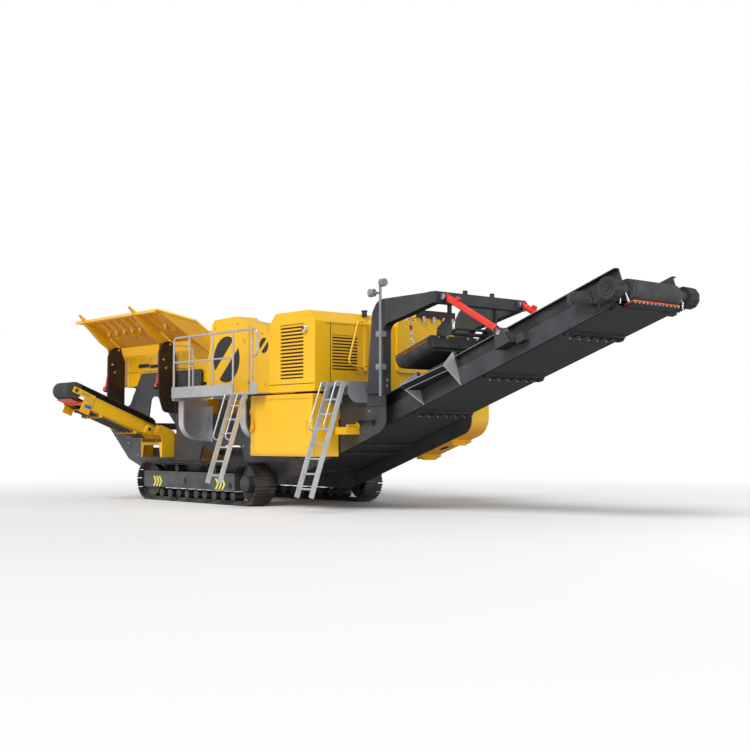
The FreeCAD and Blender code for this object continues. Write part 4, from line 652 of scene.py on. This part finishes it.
def headDetails():
    head = dict(u=7.676, v=0.172, inner=0.7403)
    bm = bmesh.new()
    for side in (-1, 1):
        def at(u, y, v):
            return slope(u, side * (head["inner"] + y), v)
        for i in range(7):
            y = 0.012 + i * 0.029
            addRod(bm, at(head["u"], y, head["v"]), at(head["u"], y + 0.012, head["v"]), 0.158, segments=10)
        addRod(bm, at(head["u"], 0.2, head["v"]), at(head["u"], 0.212, head["v"]), 0.100, edge=0.004)
        addRod(bm, at(head["u"], 0.21, head["v"]), at(head["u"], 0.226, head["v"]), 0.045, edge=0.004)
        for i in range(8):
            a = math.pi / 4 * i
            addBolt(bm, at(head["u"] + 0.078 * math.cos(a), 0.212, head["v"] + 0.078 * math.sin(a)),
                    (0, side, 0), 0.010)
        low, high = sorted((side * (head["inner"] + 0.005), side * (head["inner"] + 0.197)))
        for i in range(4):
            u = head["u"] - 0.235 + i * 0.045
            addBox(bm, (u, low, 0.055), (u + 0.014, high, 0.290), 0.003, slopeTurn)
        addBox(bm, (head["u"] - 0.30, low - 0.004, 0.075), (head["u"] - 0.27, high + 0.004, 0.270), 0.005,
               slopeTurn)
    finishPiece("gearboxRibs", bm, "darkSteel", "main_conveyor")
    bm = bmesh.new()
    for side in (-1, 1):
        def motorAt(reach):
            return slope(head["u"] - 0.24 - reach * math.cos(slopeAngle), side * (head["inner"] + 0.10),
                         head["v"] + reach * math.sin(slopeAngle))
        for i in range(9):
            addRod(bm, motorAt(0.09 + i * 0.032), motorAt(0.104 + i * 0.032), 0.090, segments=32)
        addRod(bm, motorAt(0.05), motorAt(0.075), 0.098, edge=0.004)
        addRod(bm, motorAt(0.40), motorAt(0.468), 0.088, edge=0.012)
    finishPiece("motorFins", bm, "drumRubber", "main_conveyor")
    bm = bmesh.new()
    low = head["v"] - 0.147 - 0.012
    addBox(bm, (head["u"] - 0.100, -0.52, low - 0.0235), (head["u"] + 0.068, 0.52, low - 0.004), 0.003,
           slopeTurn)
    finishPiece("scraperBlade", bm, "scraperOrange", "main_conveyor")
    bm = bmesh.new()
    turn = slopeTurn.to_3x3()
    for i in range(12):
        y = -0.48 + i * 0.96 / 11
        addBolt(bm, slopeTurn @ Vector((head["u"] + 0.061, y, low - 0.034)), turn @ Vector((1, 0, -0.3)),
                0.011)
    finishPiece("scraperBolts", bm, "zincBolt", "main_conveyor")
    bm = bmesh.new()
    for side in (-1, 1):
        addRod(bm, slope(head["u"] + 0.045, side * 0.66, 0.270),
               slope(head["u"] + 0.045, side * 0.60, -0.02), 0.014)
        addRod(bm, slope(head["u"] + 0.030, side * 0.70, 0.120),
               slope(head["u"] - 0.03, side * 0.70, -0.02), 0.012)
    finishPiece("tensionRods", bm, "rodChrome", "main_conveyor")
    bm = bmesh.new()
    for side in (-1, 1):
        for u in (7.28, 7.42, 7.56):
            addBolt(bm, slope(u, side * 0.681, 0.235), (0, side, 0), 0.012)
            addBolt(bm, slope(u, side * 0.681, 0.055), (0, side, 0), 0.012)
        y0, y1 = sorted((side * 0.679, side * 0.700))
        addBox(bm, (7.20, y0, 0.030), (7.62, y1, 0.058), 0.004, slopeTurn)
        addBox(bm, (7.30, y0, 0.058), (7.34, y1, 0.230), 0.004, slopeTurn)
        addRod(bm, slope(6.72, side * 0.679, 0.05), slope(6.72, side * 0.690, 0.05), 0.030, edge=0.003)
    addBox(bm, (5.90, 0.62, 0.475), (6.20, 0.66, 0.505), 0.004, slopeTurn)
    addPath(bm, [slope(6.10, 0.64, 0.49), slope(5.95, 0.64, 0.66), slope(5.60, 0.64, 0.78)], 0.020)
    addPath(bm, [slope(5.95, 0.64, 0.62), slope(5.72, 0.64, 0.60)], 0.016)
    finishPiece("headPlates", bm, "greyPaint", "main_conveyor")


def magnetDetails():
    place = Matrix.Translation((5.380, -0.100, 2.415)) @ Matrix.Rotation(-slopeAngle, 4, "Y")
    bm = bmesh.new()
    for side, end in ((-1, -0.640), (1, 0.560)):
        ring = bmesh.ops.create_circle(bm, cap_ends=False, segments=48, radius=0.128)["verts"]
        bmesh.ops.delete(bm, geom=[v for v in ring if v.co.y * side < -0.001], context="VERTS")
        kept = [v for v in ring if v.is_valid]
        bmesh.ops.rotate(bm, cent=(0, 0, 0), matrix=Matrix.Rotation(math.pi / 2, 3, "Y"), verts=kept)
        bmesh.ops.translate(bm, vec=(-0.388, end, 0.125), verts=kept)
        links = [e for e in bm.edges if all(v in set(kept) for v in e.verts)]
        grown = bmesh.ops.extrude_edge_only(bm, edges=links)
        bmesh.ops.translate(bm, vec=(0.776, 0, 0),
                            verts=[g for g in grown["geom"] if isinstance(g, bmesh.types.BMVert)])
    bmesh.ops.transform(bm, matrix=place, verts=bm.verts)
    bmesh.ops.recalc_face_normals(bm, faces=bm.faces)
    bmesh.ops.solidify(bm, geom=bm.faces[:], thickness=0.004)
    finishPiece("magnetBelt", bm, "beltRubber", "base")
    bm = bmesh.new()
    for i in range(26):
        x = -0.34 + i * 0.027
        for angle in (8, 17, 26):
            points = []
            for turned in (angle, angle + 8):
                a = math.radians(turned)
                points.append((-0.640 - 0.1325 * math.cos(a), 0.125 + 0.1325 * math.sin(a)))
            (y, z), (y2, z2) = points
            addPlate(bm, [(x, y, z), (x + 0.017, y, z), (x + 0.017, y2, z2), (x, y2, z2)], (0, -0.002, 0.001))
    bmesh.ops.transform(bm, matrix=place, verts=bm.verts)
    finishPiece("magnetStripe", bm, "wornOrange", "base")
    bm = bmesh.new()
    for y in (-0.52, -0.36, 0.10, 0.30):
        addBolt(bm, place @ Vector((0.431, y, 0.215)), place.to_3x3() @ Vector((1, 0, 0)), 0.016)
    finishPiece("magnetBolts", bm, "zincBolt", "base")
    bm = bmesh.new()
    addRod(bm, place @ Vector((0.430, -0.60, 0.14)), place @ Vector((0.436, -0.60, 0.14)), 0.020)
    addPath(bm, [(5.70, -0.40, 2.83), (5.78, -0.30, 2.90), (5.78, 0.32, 2.90), (5.70, 0.42, 2.83)], 0.022)
    finishPiece("magnetTube", bm, "greyPaint", "base")


def chain():
    drop = dict(x=5.20, y=-0.79, top=3.20, bottom=2.66, links=11)
    bm = bmesh.new()
    pitch = (drop["top"] - drop["bottom"]) / drop["links"]
    for i in range(drop["links"]):
        if i == 5:
            continue
        link = bmesh.new()
        ring = bmesh.ops.create_circle(link, cap_ends=True, segments=8, radius=0.006)["verts"]
        bmesh.ops.translate(link, vec=(0.018, 0, 0), verts=ring)
        bmesh.ops.rotate(link, cent=(0, 0, 0), matrix=Matrix.Rotation(math.pi / 2, 3, "X"), verts=ring)
        bmesh.ops.delete(link, geom=link.faces[:], context="FACES_ONLY")
        bmesh.ops.spin(link, geom=link.verts[:] + link.edges[:], cent=(0, 0, 0), axis=(0, 0, 1),
                       angle=2 * math.pi, steps=18, use_merge=True)
        bmesh.ops.rotate(link, cent=(0, 0, 0), matrix=Matrix.Rotation(math.pi / 2, 3, "X"), verts=link.verts)
        bmesh.ops.scale(link, vec=(1, 1, 1.75), verts=link.verts)
        bmesh.ops.rotate(link, cent=(0, 0, 0), matrix=Matrix.Rotation(math.pi / 2 * (i % 2), 3, "Z"),
                         verts=link.verts)
        share = i / (drop["links"] - 1)
        bmesh.ops.translate(link, vec=(drop["x"] + 0.02 * math.sin(3 * share), drop["y"] + 0.07 * share,
                                       drop["top"] - pitch * (i + 0.5)), verts=link.verts)
        pour(bm, link)
    finishPiece("magnetChain", bm, "rodChrome", "base")
    bm = bmesh.new()
    z = drop["top"] - pitch * 5.5
    addBox(bm, (drop["x"] - 0.010, drop["y"] + 0.012, z - 0.040),
           (drop["x"] + 0.030, drop["y"] + 0.056, z + 0.040), 0.009)
    addRod(bm, (drop["x"] - 0.02, drop["y"] + 0.034, z + 0.02),
           (drop["x"] + 0.04, drop["y"] + 0.034, z + 0.02), 0.010)
    finishPiece("chainShackle", bm, "redPaint", "base")


def gantryDetails():
    gantry = dict(tip=6.10, pin=3.33)
    bm = bmesh.new()
    for side in (-1, 1):
        addRod(bm, (gantry["tip"], side * 0.905, gantry["pin"]),
               (gantry["tip"], side * 0.935, gantry["pin"]), 0.048, edge=0.005)
        addRod(bm, (gantry["tip"], side * 0.800, gantry["pin"]),
               (gantry["tip"], side * 0.770, gantry["pin"]), 0.044, edge=0.005)
        for z in (2.02, 2.11):
            addBolt(bm, (4.842, side * 0.93, z), (1, 0, 0), 0.018)
    for z in (2.315, 2.835):
        addBolt(bm, (4.815, -1.130, z), (0, -1, 0), 0.012)
        addBolt(bm, (4.880, -1.130, z), (0, -1, 0), 0.012)
    finishPiece("gantryPins", bm, "zincBolt", "base")


def lamps():
    for name, place, along in (("frontLamp", (4.985, -1.11, 3.64), (1, -0.10, 0.05)),
                               ("rearLamp", (4.745, -1.22, 3.48), (-1, -0.20, 0.05))):
        place, along = Vector(place), Vector(along).normalized()
        bm = bmesh.new()
        addRod(bm, place - along * 0.092, place - along * 0.05, 0.040, tip=0.062)
        for i in range(4):
            addRod(bm, place - along * (0.054 - i * 0.014), place - along * (0.048 - i * 0.014), 0.0645)
        finishPiece(name + "Body", bm, "lampSilver", "base")
        bm = bmesh.new()
        addRod(bm, place - along * 0.004, place + along * 0.002, 0.055, segments=40, edge=0.002)
        finishPiece(name + "Lens", bm, "lampLens", "base")


def sideDetails():
    bm = bmesh.new()
    for u in (0.45, 1.25):
        for i in range(6):
            x = -0.30 + i * 0.12
            addRod(bm, sideTurn @ Vector((x, -u - 0.045, -0.268)),
                   sideTurn @ Vector((x, -u + 0.045, -0.268)), 0.030, segments=16)
    for u in (0.30, 1.45):
        addBox(bm, (-0.34, -u - 0.03, -0.262), (0.34, -u + 0.03, -0.235), 0.005, sideTurn)
    addBox(bm, (-0.285, -1.52, -0.2545), (0.285, -0.12, -0.2505), turn=sideTurn)
    finishPiece("sideBelly", bm, "darkSteel", "side_conveyor")
    bm = bmesh.new()
    for x in (-0.362, 0.362):
        out = 1 if x > 0 else -1
        for u, v in ((1.55, -0.04), (1.55, -0.16), (1.62, -0.10), (0.14, -0.02), (0.30, -0.03),
                     (0.22, -0.16)):
            addBolt(bm, sideTurn @ Vector((x - 0.001 * out, -u, v)), (out, 0, 0), 0.014)
        addRod(bm, sideTurn @ Vector((x + 0.012 * out, -1.62, -0.01)),
               sideTurn @ Vector((x + 0.012 * out, -1.78, -0.01)), 0.010)
    finishPiece("sideBolts", bm, "zincBolt", "side_conveyor")
    bm = bmesh.new()
    for x in (-0.368, 0.350):
        addBox(bm, (x, -1.64, -0.235), (x + 0.018, -1.50, -0.180), 0.004, sideTurn)
    finishPiece("sideBluePads", bm, "bluePlastic", "side_conveyor")
    bm = bmesh.new()
    for x in (-0.372, 0.350):
        addBox(bm, (x, -0.27, -0.19), (x + 0.022, -0.10, -0.02), 0.005, sideTurn)
        addBox(bm, (x, -1.50, -0.235), (x + 0.016, -0.35, -0.220), 0.003, sideTurn)
        addBox(bm, (x, -1.50, 0.000), (x + 0.016, -0.35, 0.018), 0.003, sideTurn)
    finishPiece("sideHingePlates", bm, "yellowPaint", "side_conveyor")
    # Dark squares on the hinge plates: painted shade inside the hinge holes.
    bm = bmesh.new()
    for x in (-0.376, 0.373):
        addBox(bm, (x, -0.215, -0.125), (x + 0.003, -0.155, -0.065), 0.0, sideTurn)
    finishPiece("sideHingeHoleShade", bm, "deepBlack", "side_conveyor")


def wallPoint(reach, lift, side):
    run = Vector((1.800 - 1.060, 3.650 - 3.100))
    run.normalize()
    return side * (1.060 + run.x * reach + run.y * lift), 3.100 + run.y * reach - run.x * lift


def hopperDetails():
    wall = dict(rear=-3.74, front=-0.85, full=math.hypot(0.74, 0.55), arms=(-3.675, -1.600))
    for side, label, body in ((-1, "right", "right_wall"), (1, "left", "left_wall")):
        bm = bmesh.new()
        for i in range(9):
            x = wall["rear"] + 0.30 + i * 0.32
            if min(abs(x - arm - 0.05) for arm in wall["arms"]) < 0.12 or x > wall["front"] - 0.05:
                continue
            corners = [wallPoint(0.10, 0.011, side), wallPoint(wall["full"] - 0.03, 0.011, side),
                       wallPoint(wall["full"] - 0.03, 0.066, side), wallPoint(0.40, 0.036, side)]
            addPlate(bm, [(x - 0.004, y, z) for y, z in corners], (0.008, 0, 0))
            lower, tip, upper = (wallPoint(reach, lift, side)
                                 for reach, lift in ((0.34, 0.011), (0.44, 0.085), (0.52, 0.011)))
            middle = x + 0.12
            low = bm.verts.new((middle, *lower))
            ends = [bm.verts.new((middle + reach, *upper)) for reach in (-0.07, 0.07)]
            top = bm.verts.new((middle, *tip))
            for corners in ((low, ends[0], top), (ends[0], ends[1], top), (ends[1], low, top),
                            (low, ends[1], ends[0])):
                bm.faces.new(corners)
        a, b = wallPoint(0.345, 0.011, side), wallPoint(0.345, 0.050, side)
        c, d = wallPoint(0.360, 0.050, side), wallPoint(0.360, 0.011, side)
        for x0, x1 in ((-3.56, -1.66), (-1.42, -0.86)):
            addPlate(bm, [(x0, *a), (x0, *b), (x0, *c), (x0, *d)], (x1 - x0, 0, 0))
        finishPiece("wallRibs_" + label, bm, "yellowPaint", body)
        bm = bmesh.new()
        for x in (-3.4, -2.9, -2.3, -1.9, -1.2):
            y, z = wallPoint(0.30, 0.013, side)
            addBolt(bm, (x, y, z), (0, side * 0.6, -0.8), 0.014)
        finishPiece("wallBolts_" + label, bm, "zincBolt", body)


def postDetails():
    bm = bmesh.new()
    for side in (-1, 1):
        for arm in (-3.675, -1.600):
            x = arm + 0.110 + 0.026
            for y, z in ((1.270, 2.74), (1.215, 2.58)):
                addRod(bm, (x, side * y, z), (x + 0.014, side * y, z), 0.024, segments=20)
    finishPiece("postBolts", bm, "zincBolt", "base")


def feederDetails():
    bm = bmesh.new()
    for side in (-1, 1):
        y0, y1 = sorted((side * 0.921, side * 0.924))
        addBox(bm, (-3.05, y0, 2.66), (-2.62, y1, 2.73))
        addBox(bm, (-2.58, y0, 2.64), (-1.90, y1, 2.70))
    finishPiece("feederStripe", bm, "deepBlack", "base")


def chassisDetails():
    bm = bmesh.new()
    for side in (-1, 1):
        for x, z in ((-3.35, 1.10), (-2.95, 0.85), (-0.9, 1.62), (-0.2, 1.15), (0.9, 1.05), (4.1, 1.35),
                     (4.45, 1.62)):
            addBolt(bm, (x, side * 0.971, z), (0, side, 0), 0.013)
    finishPiece("chassisBolts", bm, "zincBolt", "base")
    bm = bmesh.new()
    for side in (-1, 1):
        y0, y1 = sorted((side * 0.970, side * 0.985))
        addBox(bm, (4.15, y0, 1.70), (4.78, y1, 1.72), 0.003)
        y2 = side * 1.06
        a, b = sorted((side * 0.970, y2))
        addBox(bm, (4.18, a, 1.475), (4.62, b, 1.487), 0.003)
        for x in (4.25, 4.55):
            addPlate(bm, [(x, side * 0.970, 1.475), (x, y2, 1.475), (x, side * 0.970, 1.38)], (0.010, 0, 0))
    finishPiece("chassisLedges", bm, "greyPaint", "base")


def cabinetDetails():
    lean = math.radians(18.7)
    bm = bmesh.new()
    for x in (3.52, 4.28):
        z = 0.24 + (x - 1.62) * math.tan(lean)
        turn = Matrix.Translation((x, 0, z)) @ Matrix.Rotation(-lean, 4, "Y")
        addBox(bm, (-0.075, 0.972, -0.042), (0.075, 1.440, 0.020), 0.006, turn)
        addBox(bm, (0.055, 0.972, -0.100), (0.075, 1.30, -0.030), 0.004, turn)
    finishPiece("cabinetFeet", bm, "yellowPaint", "base")
    # Dark ellipse on the cabinet floor: painted shade inside its hole.
    bm = bmesh.new()
    x = 3.93
    z = 0.24 + (x - 1.62) * math.tan(lean)
    turn = Matrix.Translation((x, 1.20, z - 0.003)) @ Matrix.Rotation(-lean, 4, "Y")
    disc = bmesh.ops.create_circle(bm, cap_ends=True, segments=32, radius=1.0)["verts"]
    bmesh.ops.scale(bm, vec=(0.10, 0.055, 1), verts=disc)
    thicken(bm, bm.faces[:], (0, 0, -0.003))
    bmesh.ops.transform(bm, matrix=turn, verts=bm.verts)
    finishPiece("cabinetHoleShade", bm, "deepBlack", "base")


def liftDetails():
    top = Vector((6.100, 0, 3.330))
    eye = slope(5.665, 0, 0.375)
    run = (eye - top).normalized()
    bm = bmesh.new()
    for side in (-1, 1):
        y = Vector((0, side * 0.85, 0))
        addRod(bm, top + run * 1.12 + y, top + run * 1.190 + y, 0.057, edge=0.006)
        addRod(bm, top + run * 0.085 + y, top + run * 0.13 + y, 0.056, edge=0.006)
    finishPiece("liftCollars", bm, "redPaint", "lift_barrel_pair")


trackShoes()
crawlerDetails()
guardDiscs()
houseDetails()
boxDetails()
print("body details ready")
conveyorDetails()
headDetails()
magnetDetails()
chain()
gantryDetails()
lamps()
liftDetails()
print("conveyor details ready")
sideDetails()
hopperDetails()
postDetails()
feederDetails()
chassisDetails()
cabinetDetails()
print("all details ready")


def makeStage():
    studio = dict(floor=60.0, fade=(6.5, 17.0), floorTone=(0.86, 0.86, 0.86, 1), sky=(0.96, 0.98, 1, 1),
                  skyStrength=0.42)
    bm = bmesh.new()
    bmesh.ops.create_grid(bm, x_segments=2, y_segments=2, size=studio["floor"])
    mesh = bpy.data.meshes.new("studioFloor")
    bm.to_mesh(mesh)
    bm.free()
    floor = bpy.data.objects.new("studioFloor", mesh)
    bpy.context.scene.collection.objects.link(floor)
    material = bpy.data.materials.new("studioFloor")
    material.use_nodes = True
    shader = material.node_tree.nodes["Principled BSDF"]
    shader.inputs["Base Color"].default_value = studio["floorTone"]
    shader.inputs["Roughness"].default_value = 0.75
    tree = material.node_tree
    coords = addNode(tree, "ShaderNodeTexCoord").outputs["Object"]
    distance = addNode(tree, "ShaderNodeVectorMath", operation="LENGTH")
    tree.links.new(coords, distance.inputs[0])
    haze = addNode(tree, "ShaderNodeEmission", Strength=1.0)
    fade = addNode(tree, "ShaderNodeMixShader")
    tree.links.new(rampOf(tree, distance.outputs["Value"], *studio["fade"]), fade.inputs[0])
    tree.links.new(shader.outputs[0], fade.inputs[1])
    tree.links.new(haze.outputs[0], fade.inputs[2])
    tree.links.new(fade.outputs[0], tree.nodes["Material Output"].inputs[0])
    mesh.materials.append(material)
    world = bpy.data.worlds.new("studio")
    world.use_nodes = True
    tree = world.node_tree
    sky = tree.nodes["Background"]
    sky.inputs[0].default_value = studio["sky"]
    sky.inputs[1].default_value = studio["skyStrength"]
    backdrop = addNode(tree, "ShaderNodeBackground", Color=(1, 1, 1, 1), Strength=1.0)
    seen = addNode(tree, "ShaderNodeLightPath")
    blend = addNode(tree, "ShaderNodeMixShader")
    tree.links.new(seen.outputs["Is Camera Ray"], blend.inputs[0])
    tree.links.new(sky.outputs[0], blend.inputs[1])
    tree.links.new(backdrop.outputs[0], blend.inputs[2])
    tree.links.new(blend.outputs[0], tree.nodes["World Output"].inputs[0])
    bpy.context.scene.world = world


def addLight(name, power, size, place, aim, kind="AREA"):
    data = bpy.data.lights.new(name, kind)
    data.energy = power
    if kind == "SUN":
        data.angle = math.radians(size)
    else:
        data.size = size
    lamp = bpy.data.objects.new(name, data)
    lamp.location = place
    lamp.rotation_mode = "QUATERNION"
    lamp.rotation_quaternion = (Vector(aim) - Vector(place)).to_track_quat("-Z", "Y")
    bpy.context.scene.collection.objects.link(lamp)


def makeCamera():
    camera = dict(place=(19.145, -13.447, 1.161), azimuth=49.4, pitch=3.10, lens=57.6)
    data = bpy.data.cameras.new("camera")
    data.lens = camera["lens"]
    data.sensor_width = 36.0
    data.clip_end = 200.0
    eye = bpy.data.objects.new("camera", data)
    eye.location = Vector(camera["place"]) + origin
    eye.rotation_euler = (math.radians(90 + camera["pitch"]), 0, math.radians(camera["azimuth"]))
    bpy.context.scene.collection.objects.link(eye)
    bpy.context.scene.camera = eye


makeStage()
addLight("keyLight", 2.6, 30.0, (3.0, -9.0, 9.0), (0.0, 0.0, 0.0), "SUN")
addLight("fillLight", 380, 7.0, (15.0, 2.0, 6.0), (2.0, 0.0, 1.5))
makeCamera()
bpy.context.scene.view_settings.view_transform = "Standard"
print("studio ready")
